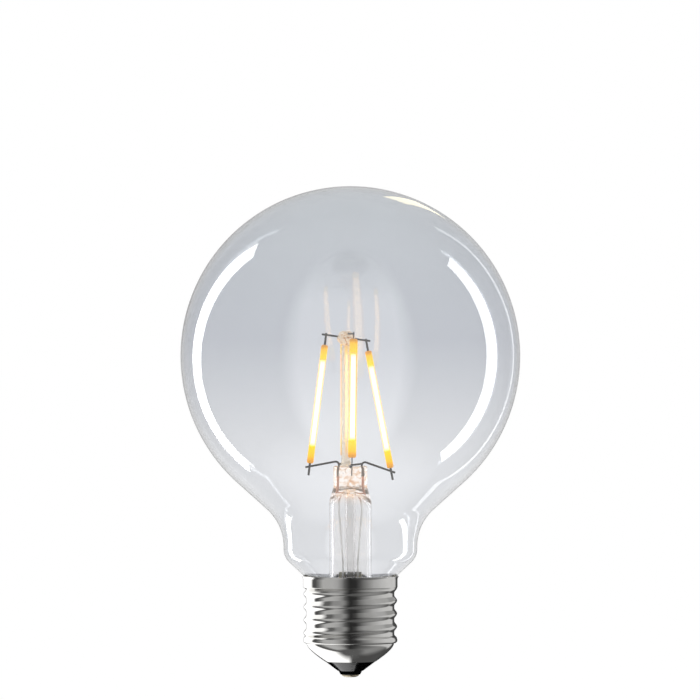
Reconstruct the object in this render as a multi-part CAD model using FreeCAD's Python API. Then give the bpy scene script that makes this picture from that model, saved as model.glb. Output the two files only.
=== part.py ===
"""Clear glass globe lamp with four upright light filaments on an E27 Edison screw cap.

Millimetres, +Z up along the lamp's axis, origin at the tip of the end contact.
The front of the lamp is -Y and its right-hand side is +X.
"""

import FreeCAD
import Part
import math
import os

Vector = FreeCAD.Vector

# End contact: a domed rivet whose shank passes up through the insulator
CONTACT_HEAD_RADIUS = 2.4
CONTACT_HEAD_HEIGHT = 0.75
CONTACT_FLAT_RADIUS = 0.9
CONTACT_SHANK_RADIUS = 0.8
CONTACT_SHANK_RISE = 1.4

# Black insulator: boss, cone and the dish inside the cap
BOSS_TIP_RADIUS = 2.75
BOSS_RADIUS = 3.3
BOSS_HEIGHT = 1.05
BOSS_STEP = 0.25
INSULATOR_CONE_HEIGHT = 2.6
INSULATOR_FLOOR = 3.0
INSULATOR_SEAT_WIDTH = 5.6
INSULATOR_SEAT_RADIUS = 10.6

# E27 screw shell, rolled from sheet
SHELL_WALL = 0.3
SHELL_MOUTH_RADIUS = 7.1
SHELL_CONE_HEIGHT = 4.8
SHOULDER_RADIUS = 13.15
SHOULDER_HALF_WIDTH = 1.05
THREAD_ROOT_RADIUS = 12.3
THREAD_CREST_RADIUS = 13.08
THREAD_PITCH = 3.629
THREAD_LENGTH = 13.1
THREAD_START_AZIMUTH = -30.0
RIDGE_BASE_WIDTH = 2.2
RIDGE_TOP_WIDTH = 0.6
RIDGE_ROOTING = 0.15
COLLAR_RADIUS = 13.2
COLLAR_HEIGHT = 2.3
LIP_OVERHANG = 0.4
LIP_HEIGHT = 0.7

# Blown envelope: globe, neck, foot and the seal inside the cap
GLASS_WALL = 0.8
GLOBE_RADIUS = 47.5
FLANK_ANGLE = 48.0
NECK_RADIUS = 18.7
NECK_FILLET = 14.0
NECK_LENGTH = 0.7
FOOT_RADIUS = 5.0
FOOT_ANGLE = 47.0
RIM_GAP = 0.3
SEAL_RADIUS = 11.3
SEAL_FILLET = 2.5
SEAL_LENGTH = 1.6

# Capping cement between the seal and the collar
CEMENT_END_GAP = 0.1

# Stem: flared tube closed by a flattened press
STEM_RADIUS = 5.95
STEM_WALL = 1.1
STEM_TUBE_LENGTH = 20.1
STEM_SHOULDER_HEIGHT = 3.4
PRESS_HALF_WIDTH = 4.75
PRESS_HALF_DEPTH = 2.4
PRESS_HEIGHT = 5.9
PRESS_EDGE_RADIUS = 0.6
CAVITY_DOME_DROP = 1.1

# Exhaust tube, tipped off inside the cap
EXHAUST_RADIUS = 1.55
EXHAUST_WALL = 0.6
EXHAUST_TAIL = 2.2

# Glass post with the bead that holds the upper wires
POST_OFFSET = -1.2
POST_RADIUS = 1.3
POST_FOOT_RADIUS = 1.5
POST_FOOT_HEIGHT = 0.5
BEAD_RADIUS = 2.6
BEAD_HALF_HEIGHT = 1.9

# Wires
WIRE_RADIUS = 0.28
WIRE_END = 1.2
LEAD_SPACING = 3.2
LEAD_JOINT_HEIGHT = 2.9
LEAD_RISE = 1.4
LEAD_BEND = 0.9
ARM_RISE = 0.6
ARM_CORNER = 5.0
ARM_BEND = 2.0
LEAD_IN_STRAIGHT = 2.0
LEAD_IN_BEND = 4.0
UPPER_WIRE_GAP = 1.1
UPPER_WIRE_TILT = 8.0
UPPER_BEND = 1.5

# Light filaments: a coated strip with a metal tab at each end
FILAMENT_LENGTH = 33.4
FILAMENT_HALF_WIDTH = 1.15
FILAMENT_HALF_DEPTH = 0.95
FILAMENT_END_RADIUS = 0.5
TAB_INSERT = 1.2
TAB_WIDTH = 0.6
TAB_THICKNESS = 0.3
LOWER_TAB_TAIL = 2.5
UPPER_TAB_TAIL = 0.5
JOINT_ROOM = 2.94
UPPER_RING_RADIUS = 5.6
LOWER_RING_RADIUS = 11.4

# How each filament stands: its bearing at the bead and at the press, how far its lower joint
# lies below the top of the press, and how far above that joint its coating starts
FILAMENTS = {
    "left": {"upper_azimuth": 180.0, "lower_azimuth": 180.0, "lower_drop": 0.15, "coat_rise": 0.9},
    "right": {"upper_azimuth": 0.0, "lower_azimuth": 0.0, "lower_drop": 1.5, "coat_rise": 0.9},
    "front": {"upper_azimuth": 288.0, "lower_azimuth": 270.0, "lower_drop": 0.0, "coat_rise": 2.6},
    "back": {"upper_azimuth": 90.0, "lower_azimuth": 96.0, "lower_drop": 0.0, "coat_rise": 2.6},
}

# Driver board standing in the cap, its tongue in the mouth of the stem
BOARD_THICKNESS = 1.0
BOARD_GAP = 0.55
BOARD_HALF_WIDTH = 8.4
BOARD_TOP_GAP = 1.0
TONGUE_GAP = 0.3
TONGUE_RISE = 0.0
PAD_INSET = 1.2
PAD_DROP = 2.0

# Parts on the board
CAPACITOR_RADIUS = 3.15
CAPACITOR_LENGTH = 8.0
CAPACITOR_CENTRE_X = -3.0
CAPACITOR_RISE = 4.1
CAPACITOR_LEAD_PITCH = 2.5
CAPACITOR_LEAD_REACH = 1.0
CAPACITOR_GROOVE = 0.3
COMPONENT_LEAD_RADIUS = 0.25
RESISTOR_RADIUS = 1.2
RESISTOR_LENGTH = 6.0
RESISTOR_CENTRE_X = 6.2
RESISTOR_RISE = 7.2
RESISTOR_LEAD_REACH = 1.2
RECTIFIER_SIZE = (4.7, 1.4, 3.9)
RECTIFIER_CENTRE = (-3.8, 4.4)
RECTIFIER_LEAD_PITCH = 2.54
CHIP_SIZE = (4.9, 1.5, 3.9)
CHIP_CENTRE = (3.6, 5.6)
CHIP_LEAD_PITCH = 1.27
PACKAGE_LEAD_WIDTH = 0.45
PACKAGE_LEAD_THICKNESS = 0.2
PACKAGE_LEAD_REACH = 1.0
PACKAGE_STANDOFF = 0.15

# Insulated wires from the board to the end contact and to the shell
CAP_WIRE_RADIUS = 0.45
CAP_WIRE_BEND = 0.8
CONTACT_WIRE_X = 4.0
CONTACT_WIRE_RISE = 2.0
SHELL_WIRE_AZIMUTH = 42.0
SHELL_WIRE_X = 7.3

# Heights that follow from the sizes above
Z_BOSS = CONTACT_HEAD_HEIGHT
Z_CONE = Z_BOSS + BOSS_HEIGHT
Z_MOUTH = Z_CONE + INSULATOR_CONE_HEIGHT
Z_SHOULDER_FOOT = Z_MOUTH + SHELL_CONE_HEIGHT
Z_SHOULDER = Z_SHOULDER_FOOT + SHOULDER_HALF_WIDTH
Z_THREAD = Z_SHOULDER + SHOULDER_HALF_WIDTH
Z_THREAD_TOP = Z_THREAD + THREAD_LENGTH
Z_COLLAR = Z_THREAD_TOP + (COLLAR_RADIUS - THREAD_ROOT_RADIUS)
Z_LIP = Z_COLLAR + COLLAR_HEIGHT
Z_RIM = Z_LIP + LIP_HEIGHT

# The shell's cone runs from its mouth to the foot of the shoulder
SHOULDER_FOOT_RADIUS = THREAD_ROOT_RADIUS + (SHOULDER_RADIUS - THREAD_ROOT_RADIUS) / 2
SHELL_CONE_ANGLE = math.atan2(SHOULDER_FOOT_RADIUS - SHELL_MOUTH_RADIUS, SHELL_CONE_HEIGHT)
Z_MOUTH_INSIDE = Z_MOUTH + SHELL_WALL / math.sin(SHELL_CONE_ANGLE)
INSULATOR_RISE = (INSULATOR_SEAT_RADIUS - SHELL_MOUTH_RADIUS) / math.tan(SHELL_CONE_ANGLE)
Z_SEAT = Z_MOUTH_INSIDE + INSULATOR_RISE
Z_FLOOR = Z_CONE + INSULATOR_FLOOR
COLLAR_BORE = COLLAR_RADIUS - SHELL_WALL

# A margin by which a cutting tool runs past what it cuts
PAST = 1.0


def line(start, end):
    """A straight edge between two (radius, height) points of a turned outline."""
    return Part.LineSegment(Vector(start[0], 0, start[1]), Vector(end[0], 0, end[1])).toShape()


def arc(centre, radius, start, end):
    """A round edge of a turned outline, from one bearing to another in degrees."""
    def at(bearing):
        angle = math.radians(bearing)
        return Vector(centre[0] + radius * math.cos(angle), 0, centre[1] + radius * math.sin(angle))
    return Part.Arc(at(start), at((start + end) / 2), at(end)).toShape()


def chain(*points):
    """Straight edges through a row of (radius, height) points."""
    return [line(a, b) for a, b in zip(points, points[1:])]


def turned(edges):
    """The solid that a closed outline sweeps round the lamp's axis."""
    face = Part.Face(Part.Wire(Part.__sortEdges__(edges)))
    return face.revolve(Vector(0, 0, 0), Vector(0, 0, 1), 360)


def turned_points(*points):
    """A turned solid whose outline has straight sides only."""
    return turned(chain(*points, points[0]))


def box(low, high):
    """A block between two corners."""
    size = [b - a for a, b in zip(low, high)]
    return Part.makeBox(size[0], size[1], size[2], Vector(*low))


def polar(radius, azimuth, height, centre_x=0.0):
    """A point at a bearing round a vertical axis that stands at centre_x."""
    angle = math.radians(azimuth)
    return Vector(centre_x + radius * math.cos(angle), radius * math.sin(angle), height)


def bent_path(points, bend):
    """Straight runs through the points, joined by tangent arcs that fit within the runs."""
    edges = []
    here = points[0]
    for before, corner, after in zip(points, points[1:], points[2:]):
        into = (corner - before).normalize()
        out = (after - corner).normalize()
        half_turn = into.getAngle(out) / 2
        room = 0.45 * min((corner - before).Length, (after - corner).Length)
        trim = min(bend * math.tan(half_turn), room)
        radius = trim / math.tan(half_turn)
        inward = (out - into).normalize()
        middle = corner + inward * (radius / math.cos(half_turn) - radius)
        start, end = corner - into * trim, corner + out * trim
        edges.append(Part.LineSegment(here, start).toShape())
        edges.append(Part.Arc(start, middle, end).toShape())
        here = end
    edges.append(Part.LineSegment(here, points[-1]).toShape())
    return Part.Wire(edges)


def wire_run(points, radius, bend=1.0):
    """A round wire along a bent path."""
    heading = (points[1] - points[0]).normalize()
    section = Part.Wire(Part.makeCircle(radius, points[0], heading))
    if len(points) == 2:
        return Part.makeCylinder(radius, (points[1] - points[0]).Length, points[0], heading)
    return bent_path(points, bend).makePipeShell([section], True, False)


# Screw cap

def shell_outline(inset, below, above):
    """The rolled shell's outline, inset by the sheet's thickness for its inside, run on past both ends.

    The lower cone, the shoulder bead, the thread's root, the collar and the flared lip follow one another.
    """
    slope = math.tan(SHELL_CONE_ANGLE)
    cone_lift = inset / math.sin(SHELL_CONE_ANGLE)
    corner = inset * math.tan(math.radians(22.5))
    start_radius = SHELL_MOUTH_RADIUS - below
    start = (start_radius, Z_MOUTH + cone_lift - below / slope)
    foot = (SHOULDER_FOOT_RADIUS - inset * math.cos(SHELL_CONE_ANGLE),
            Z_SHOULDER_FOOT + inset * math.sin(SHELL_CONE_ANGLE))
    crest = (SHOULDER_RADIUS - inset, Z_SHOULDER)
    root = (THREAD_ROOT_RADIUS - inset, Z_THREAD)
    lip = (COLLAR_RADIUS + LIP_OVERHANG - inset + above * LIP_OVERHANG / LIP_HEIGHT, Z_RIM + above)
    shoulder = Part.Arc(Vector(foot[0], 0, foot[1]), Vector(crest[0], 0, crest[1]),
                        Vector(root[0], 0, root[1])).toShape()
    upper = chain(root,
                  (THREAD_ROOT_RADIUS - inset, Z_THREAD_TOP + corner),
                  (COLLAR_RADIUS - inset, Z_COLLAR + corner),
                  (COLLAR_RADIUS - inset, Z_LIP),
                  lip)
    ends = chain(lip, (0, lip[1]), (0, start[1]), start)
    return [line(start, foot), shoulder, *upper, *ends]


def thread_ridge(inset):
    """The helical ridge of the rolled thread, in pieces of at most one turn each.

    It is a right-hand trapezium that starts inside the shoulder and ends inside the collar.
    """
    root = THREAD_ROOT_RADIUS - inset
    crest = THREAD_CREST_RADIUS - inset
    flank = (RIDGE_BASE_WIDTH - RIDGE_TOP_WIDTH) / 2 / (crest - root)
    narrow = inset * (math.hypot(flank, 1) - flank)
    base = RIDGE_BASE_WIDTH / 2 + RIDGE_ROOTING * flank - narrow
    top = max(RIDGE_TOP_WIDTH / 2 - narrow, 0.1 * RIDGE_TOP_WIDTH)
    inner = root - RIDGE_ROOTING
    outline = [(inner, -base), (crest, -top), (crest, top), (inner, base), (inner, -base)]
    section = Part.makePolygon([Vector(radius, 0, height) for radius, height in outline])
    climb = Z_COLLAR + COLLAR_HEIGHT / 2 - Z_SHOULDER
    count = math.ceil(climb / THREAD_PITCH)
    step = climb / count
    turn = Part.Wire(Part.makeHelix(THREAD_PITCH, step, root)).makePipeShell([section], True, True)
    pieces = []
    for n in range(count):
        piece = turn.copy()
        piece.rotate(Vector(0, 0, 0), Vector(0, 0, 1), THREAD_START_AZIMUTH + 360 * n * step / THREAD_PITCH)
        piece.translate(Vector(0, 0, Z_SHOULDER + n * step))
        pieces.append(piece)
    return pieces


def thread_crest_height(azimuth):
    """The height of the thread's second crest at a bearing round the cap."""
    turns = 1 + ((azimuth - THREAD_START_AZIMUTH) % 360) / 360
    return Z_SHOULDER + THREAD_PITCH * turns


def make_screw_shell():
    """The sheet shell: the turned body with its ridge, less the same body one sheet thickness smaller."""
    outside = turned(shell_outline(0, PAST, 0)).fuse(thread_ridge(0))
    inside = turned(shell_outline(SHELL_WALL, 0, PAST)).fuse(thread_ridge(SHELL_WALL))
    mouth = Part.makeCylinder(SHELL_MOUTH_RADIUS, Z_MOUTH_INSIDE, Vector(0, 0, 0))
    return outside.cut(inside).cut(mouth).removeSplitter()


def make_insulator():
    """The black insulator: boss and cone, a seat in the shell's cone, a dish and the contact's bore."""
    dish = INSULATOR_SEAT_RADIUS - INSULATOR_SEAT_WIDTH
    return turned_points(
        (CONTACT_SHANK_RADIUS, Z_BOSS),
        (BOSS_TIP_RADIUS, Z_BOSS),
        (BOSS_RADIUS, Z_CONE),
        (BOSS_RADIUS + BOSS_STEP, Z_CONE),
        (SHELL_MOUTH_RADIUS, Z_MOUTH),
        (SHELL_MOUTH_RADIUS, Z_MOUTH_INSIDE),
        (INSULATOR_SEAT_RADIUS, Z_SEAT),
        (dish, Z_SEAT),
        (dish, Z_FLOOR),
        (CONTACT_SHANK_RADIUS, Z_FLOOR),
    )


def make_centre_contact():
    """The end contact: a domed head with a small flat at its tip, and a shank through the insulator."""
    edge = CONTACT_HEAD_HEIGHT / 3
    spread = CONTACT_HEAD_RADIUS - CONTACT_FLAT_RADIUS
    drop = CONTACT_HEAD_HEIGHT - edge
    bulge = (spread ** 2 + drop ** 2) / (2 * drop)
    turn = math.degrees(math.asin(spread / bulge))
    dome = arc((CONTACT_FLAT_RADIUS, bulge), bulge, -90, turn - 90)
    top = Z_FLOOR + CONTACT_SHANK_RISE
    sides = chain((CONTACT_HEAD_RADIUS, drop), (CONTACT_HEAD_RADIUS, Z_BOSS), (CONTACT_SHANK_RADIUS, Z_BOSS),
                  (CONTACT_SHANK_RADIUS, top), (0, top), (0, 0), (CONTACT_FLAT_RADIUS, 0))
    return turned([dome, *sides])


# Glass

def envelope_levels(inset):
    """The corner points of the envelope's outline, inset by the glass for its inside.

    The foot's cone passes the shell's lip with a gap, which sets the height of everything above it.
    """
    cone = math.radians(FOOT_ANGLE)
    lip = COLLAR_RADIUS + LIP_OVERHANG - SHELL_WALL - RIM_GAP
    passing = (lip - inset * math.cos(cone), Z_RIM + inset * math.sin(cone))
    neck, foot = NECK_RADIUS - inset, FOOT_RADIUS - inset
    foot_end = neck - foot * (1 - math.cos(cone))
    z_foot_end = passing[1] + (foot_end - passing[0]) / math.tan(cone)
    seal, fillet = SEAL_RADIUS - inset, SEAL_FILLET + inset
    seal_start = seal + fillet * (1 - math.cos(cone))
    z_seal_start = passing[1] - (passing[0] - seal_start) / math.tan(cone)
    z_seal = z_seal_start - fillet * math.sin(cone)
    return {
        "neck": neck, "foot": foot, "seal": seal, "seal_fillet": fillet,
        "foot_end": (foot_end, z_foot_end),
        "z_foot": z_foot_end + foot * math.sin(cone),
        "seal_start": (seal_start, z_seal_start),
        "seal_centre": (seal + fillet, z_seal),
        "z_seal": z_seal,
    }


def flank_ends(inset):
    """The ends of the straight flank and its fillet's centre, as radius and drop below the equator."""
    flank = math.radians(FLANK_ANGLE)
    globe, neck, fillet = GLOBE_RADIUS - inset, NECK_RADIUS - inset, NECK_FILLET + inset
    upper = (globe * math.cos(flank), globe * math.sin(flank))
    radius = neck + fillet * (1 - math.cos(flank))
    lower = (radius, upper[1] + (upper[0] - radius) / math.tan(flank))
    return upper, lower, (neck + fillet, lower[1] + fillet * math.sin(flank))


OUTER = envelope_levels(0)
Z_SEAL_END = OUTER["z_seal"] - SEAL_LENGTH
Z_EQUATOR = OUTER["z_foot"] + NECK_LENGTH + flank_ends(0)[2][1]
Z_CROWN = Z_EQUATOR + GLOBE_RADIUS


def envelope_edges(inset):
    """The envelope's outline from its crown down to the end of the seal."""
    level = envelope_levels(inset)
    upper, lower, fillet = flank_ends(inset)
    z_fillet = Z_EQUATOR - fillet[1]
    return [
        arc((0, Z_EQUATOR), GLOBE_RADIUS - inset, 90, -FLANK_ANGLE),
        line((upper[0], Z_EQUATOR - upper[1]), (lower[0], Z_EQUATOR - lower[1])),
        arc((fillet[0], z_fillet), NECK_FILLET + inset, 180 - FLANK_ANGLE, 180),
        line((level["neck"], z_fillet), (level["neck"], level["z_foot"])),
        arc((level["neck"] - level["foot"], level["z_foot"]), level["foot"], 0, -FOOT_ANGLE),
        line(level["foot_end"], level["seal_start"]),
        arc(level["seal_centre"], level["seal_fillet"], 180 - FOOT_ANGLE, 180),
        line((level["seal"], level["z_seal"]), (level["seal"], Z_SEAL_END)),
    ]


def make_glass_globe():
    """The blown envelope: one glass wall from the crown to the seal."""
    joins = [line((0, Z_CROWN), (0, Z_CROWN - GLASS_WALL)),
             line((SEAL_RADIUS, Z_SEAL_END), (SEAL_RADIUS - GLASS_WALL, Z_SEAL_END))]
    return turned([*envelope_edges(0), *envelope_edges(GLASS_WALL), *joins])


def make_capping_cement():
    """The ring of cement that fills the collar round the seal and the foot's cone."""
    low = Z_COLLAR + SHELL_WALL
    high = Z_LIP - CEMENT_END_GAP
    ring = Part.makeCylinder(COLLAR_BORE, high - low, Vector(0, 0, low))
    closed = chain((SEAL_RADIUS, Z_SEAL_END), (0, Z_SEAL_END), (0, Z_CROWN))
    return ring.cut(turned([*envelope_edges(0), *closed]))


# The flare's rim seals against the inside of the envelope's end
FLARE_RIM = SEAL_RADIUS - GLASS_WALL
FLARE_RADIUS = FLARE_RIM - STEM_RADIUS
STEM_BORE = STEM_RADIUS - STEM_WALL
Z_FLARE = Z_SEAL_END + STEM_WALL + FLARE_RADIUS
Z_TUBE = Z_FLARE + STEM_TUBE_LENGTH
Z_PRESS = Z_TUBE + STEM_SHOULDER_HEIGHT
Z_PRESS_TOP = Z_PRESS + PRESS_HEIGHT
Z_DOME = Z_TUBE - CAVITY_DOME_DROP
DOME_RADIUS = STEM_BORE - EXHAUST_RADIUS
Z_CAVITY = Z_DOME + DOME_RADIUS
Z_LEAD_JOINT = Z_PRESS_TOP - LEAD_JOINT_HEIGHT

# The bead stands as high as a leaning filament with its joints reaches above the press
BEAD_HEIGHT = math.sqrt((FILAMENT_LENGTH + JOINT_ROOM) ** 2 - (LOWER_RING_RADIUS - UPPER_RING_RADIUS) ** 2)
Z_BEAD = Z_PRESS_TOP + BEAD_HEIGHT


def flat_oval(half_width, half_depth, height):
    """A level loop, its long side along X: two half rounds joined by flat sides, each side in two pieces."""
    middle = half_width - half_depth
    edges = []
    for way in (1, -1):
        tip = Vector(way * half_width, 0, height)
        start = Vector(way * middle, -way * half_depth, height)
        end = Vector(way * middle, way * half_depth, height)
        edges.append(Part.Arc(start, tip, end).toShape())
        edges.append(Part.LineSegment(end, Vector(-way * middle, way * half_depth, height)).toShape())
    return Part.Wire(edges)


def quartered_circle(radius, height, half_width, half_depth):
    """A level circle cut in four where the corners of a flat oval lie, so that the two can be lofted."""
    corner = math.degrees(math.atan2(half_depth, half_width - half_depth))
    stops = [-corner, corner, 180 - corner, 180 + corner, 360 - corner]
    edges = []
    for start, end in zip(stops, stops[1:]):
        edges.append(Part.Arc(polar(radius, start, height), polar(radius, (start + end) / 2, height),
                              polar(radius, end, height)).toShape())
    return Part.Wire(edges)


def make_stem_tube(wires):
    """The stem: a tube flared to the seal below and closed above by a flat press round the lead wires."""
    flare_centre = (FLARE_RIM, Z_FLARE)
    outside = turned([arc(flare_centre, FLARE_RADIUS, 180, 270),
                      *chain((FLARE_RIM, Z_SEAL_END + STEM_WALL), (FLARE_RIM, Z_SEAL_END), (0, Z_SEAL_END),
                             (0, Z_TUBE), (STEM_RADIUS, Z_TUBE), (STEM_RADIUS, Z_FLARE))])
    press_loop = flat_oval(PRESS_HALF_WIDTH, PRESS_HALF_DEPTH, Z_PRESS)
    tube_loop = quartered_circle(STEM_RADIUS, Z_TUBE, PRESS_HALF_WIDTH, PRESS_HALF_DEPTH)
    shoulder = Part.makeLoft([tube_loop, press_loop], True, True)
    press = Part.Face(press_loop).extrude(Vector(0, 0, PRESS_HEIGHT))
    rim = [edge for edge in press.Edges if abs(edge.BoundBox.ZMin - Z_PRESS_TOP) < 1e-6]
    press = press.makeFillet(PRESS_EDGE_RADIUS, rim)
    hollow_flare = arc(flare_centre, FLARE_RADIUS + STEM_WALL, 180, 270)
    dome = arc((EXHAUST_RADIUS, Z_DOME), DOME_RADIUS, 0, 90)
    cavity = turned([hollow_flare, dome, line((STEM_BORE, Z_FLARE), (STEM_BORE, Z_DOME)),
                     *chain((FLARE_RIM, Z_SEAL_END), (0, Z_SEAL_END), (0, Z_CAVITY),
                            (EXHAUST_RADIUS, Z_CAVITY))])
    stem = outside.fuse([shoulder, press]).cut(cavity)
    return stem.cut(wires).removeSplitter()


def make_exhaust_tube():
    """The exhaust tube: fused to the press above, drawn to a closed round tip below."""
    bore = EXHAUST_RADIUS - EXHAUST_WALL
    z_tip = Z_SEAL_END - EXHAUST_TAIL + EXHAUST_RADIUS
    return turned([
        arc((0, z_tip), EXHAUST_RADIUS, -90, 0),
        *chain((EXHAUST_RADIUS, z_tip), (EXHAUST_RADIUS, Z_CAVITY), (bore, Z_CAVITY), (bore, z_tip)),
        arc((0, z_tip), bore, 0, -90),
        line((0, z_tip - bore), (0, z_tip - EXHAUST_RADIUS)),
    ])


def make_filament_post(wires):
    """The glass post on the press, melted at its top into a flattened bead round the upper wires."""
    middle = BEAD_RADIUS - BEAD_HALF_HEIGHT
    lean = math.degrees(math.acos((POST_RADIUS - middle) / BEAD_HALF_HEIGHT))
    z_neck = Z_BEAD - BEAD_HALF_HEIGHT * math.sin(math.radians(lean))
    z_top = Z_BEAD + BEAD_HALF_HEIGHT
    post = turned([
        *chain((middle, z_top), (0, z_top), (0, Z_PRESS_TOP), (POST_FOOT_RADIUS, Z_PRESS_TOP),
               (POST_RADIUS, Z_PRESS_TOP + POST_FOOT_HEIGHT), (POST_RADIUS, z_neck)),
        arc((middle, Z_BEAD), BEAD_HALF_HEIGHT, -lean, 90),
    ])
    post.translate(Vector(POST_OFFSET, 0, 0))
    return post.cut(wires)


# Filaments and the wires that carry them

def upper_wire_height(name, reach):
    """The height of a filament's upper wire: the wire across leans, the one through runs level above it."""
    if name in ("left", "right"):
        side = 1 if name == "left" else -1
        return Z_BEAD + side * reach * math.tan(math.radians(UPPER_WIRE_TILT))
    return Z_BEAD + UPPER_WIRE_GAP


def upper_point(name, reach):
    """A point on the upper wire towards one filament, at a distance from the post."""
    return polar(reach, FILAMENTS[name]["upper_azimuth"], upper_wire_height(name, reach), POST_OFFSET)


def lower_point(name, reach):
    """A point level with the lower joint of one filament, at a distance from the lamp's axis."""
    stand = FILAMENTS[name]
    return polar(reach, stand["lower_azimuth"], Z_PRESS_TOP - stand["lower_drop"])


def sideways(azimuth):
    """The step to one side of a bearing that lays a tab against its wire."""
    return polar(WIRE_RADIUS + TAB_THICKNESS / 2, azimuth + 90, 0)


def filament_axis(name):
    """A filament's lower joint, the ways along it and across its tabs, and its length to the upper joint."""
    stand = FILAMENTS[name]
    low = lower_point(name, LOWER_RING_RADIUS) + sideways(stand["lower_azimuth"])
    high = upper_point(name, UPPER_RING_RADIUS) + sideways(stand["upper_azimuth"])
    reach = (high - low).Length
    along = (high - low).normalize()
    side = polar(1, stand["lower_azimuth"] + 90, 0)
    across = along.cross(side).normalize()
    return low, along, across, reach


def stand_up(shape, name):
    """Moves a shape drawn along +Z from its lower end to where its filament stands."""
    low, along, across, _ = filament_axis(name)
    side = across.cross(along)
    foot = low - along * LOWER_TAB_TAIL
    shape.Placement = FreeCAD.Placement(FreeCAD.Matrix(
        side.x, across.x, along.x, foot.x,
        side.y, across.y, along.y, foot.y,
        side.z, across.z, along.z, foot.z,
        0, 0, 0, 1))
    return shape


def coating_start(name):
    """How far above the tail of a filament's lower tab its coating starts."""
    return LOWER_TAB_TAIL + FILAMENTS[name]["coat_rise"]


def make_led_filament(name):
    """One coated light strip: an oval rod with rounded ends, slotted for its tabs."""
    section = Part.Face(flat_oval(FILAMENT_HALF_WIDTH, FILAMENT_HALF_DEPTH, coating_start(name)))
    rod = section.extrude(Vector(0, 0, FILAMENT_LENGTH))
    rims = [edge for edge in rod.Edges if edge.BoundBox.ZLength < 1e-6]
    rod = rod.makeFillet(FILAMENT_END_RADIUS, rims)
    return stand_up(rod.cut([tab_strip(name, "lower"), tab_strip(name, "upper")]), name)


def tab_strip(name, end):
    """A flat metal tab, drawn along +Z, from inside one end of the coating to past the wire at that end."""
    if end == "lower":
        low, high = 0, coating_start(name) + TAB_INSERT
    else:
        low = coating_start(name) + FILAMENT_LENGTH - TAB_INSERT
        high = LOWER_TAB_TAIL + filament_axis(name)[3] + UPPER_TAB_TAIL
    return box((-TAB_THICKNESS / 2, -TAB_WIDTH / 2, low), (TAB_THICKNESS / 2, TAB_WIDTH / 2, high))


def make_tab(name, end, wire):
    """One tab, pressed against the wire that it is welded to."""
    return stand_up(tab_strip(name, end), name).cut(wire)


def make_upper_wires():
    """The two wires through the bead: one from left to right, the other from front to back above it."""
    reach = UPPER_RING_RADIUS + WIRE_END
    across = wire_run([upper_point("left", reach), upper_point("right", reach)], WIRE_RADIUS)
    through = wire_run([upper_point("front", reach), upper_point("front", 0), upper_point("back", reach)],
                       WIRE_RADIUS, UPPER_BEND)
    return across, through


def make_lead(name, side):
    """A lead wire: up out of the press, then bent outwards to a filament's lower tab."""
    elbow = Vector(side * LEAD_SPACING, 0, Z_PRESS_TOP + LEAD_RISE)
    joint = lower_point(name, LOWER_RING_RADIUS)
    end = joint + (joint - elbow).normalize() * WIRE_END
    return wire_run([Vector(side * LEAD_SPACING, 0, Z_LEAD_JOINT), elbow, end], WIRE_RADIUS, LEAD_BEND)


def make_arm(name, side, lead):
    """A branch wire from a lead to the front or back filament, its end shaped to the lead."""
    start = Vector(side * LEAD_SPACING, 0, Z_PRESS_TOP + ARM_RISE)
    joint = lower_point(name, LOWER_RING_RADIUS)
    corner = lower_point(name, ARM_CORNER)
    corner.z = (start.z + joint.z) / 2
    end = joint + (joint - corner).normalize() * WIRE_END
    arm = wire_run([start, corner, end], WIRE_RADIUS, ARM_BEND).cut(lead)
    return max(arm.Solids, key=lambda solid: solid.Volume)


# Driver in the cap

BOARD_FRONT = EXHAUST_RADIUS + BOARD_GAP
BOARD_BACK = BOARD_FRONT + BOARD_THICKNESS
TONGUE_HALF_WIDTH = math.sqrt((STEM_BORE - TONGUE_GAP) ** 2 - BOARD_BACK ** 2)
Z_BOARD_TOP = Z_SEAL_END - BOARD_TOP_GAP
Z_TONGUE = Z_FLARE + TONGUE_RISE


def make_driver_board():
    """The driver board: a wide body on the insulator's seat and a tongue up into the stem."""
    body = box((-BOARD_HALF_WIDTH, BOARD_FRONT, Z_SEAT), (BOARD_HALF_WIDTH, BOARD_BACK, Z_BOARD_TOP))
    tongue = box((-TONGUE_HALF_WIDTH, BOARD_FRONT, Z_SEAT), (TONGUE_HALF_WIDTH, BOARD_BACK, Z_TONGUE))
    return body.fuse(tongue).removeSplitter()


def make_lead_in(side):
    """A lead-in wire: from the middle of the press down the stem to a pad on the tongue's face."""
    x_pad = side * (TONGUE_HALF_WIDTH - PAD_INSET)
    y_pad = BOARD_FRONT - WIRE_RADIUS
    return wire_run([
        Vector(side * LEAD_SPACING, 0, Z_LEAD_JOINT),
        Vector(side * LEAD_SPACING, 0, Z_DOME - LEAD_IN_STRAIGHT),
        Vector(x_pad, y_pad, Z_TONGUE + PAD_DROP),
        Vector(x_pad, y_pad, Z_TONGUE - PAD_DROP),
    ], WIRE_RADIUS, LEAD_IN_BEND)


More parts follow.
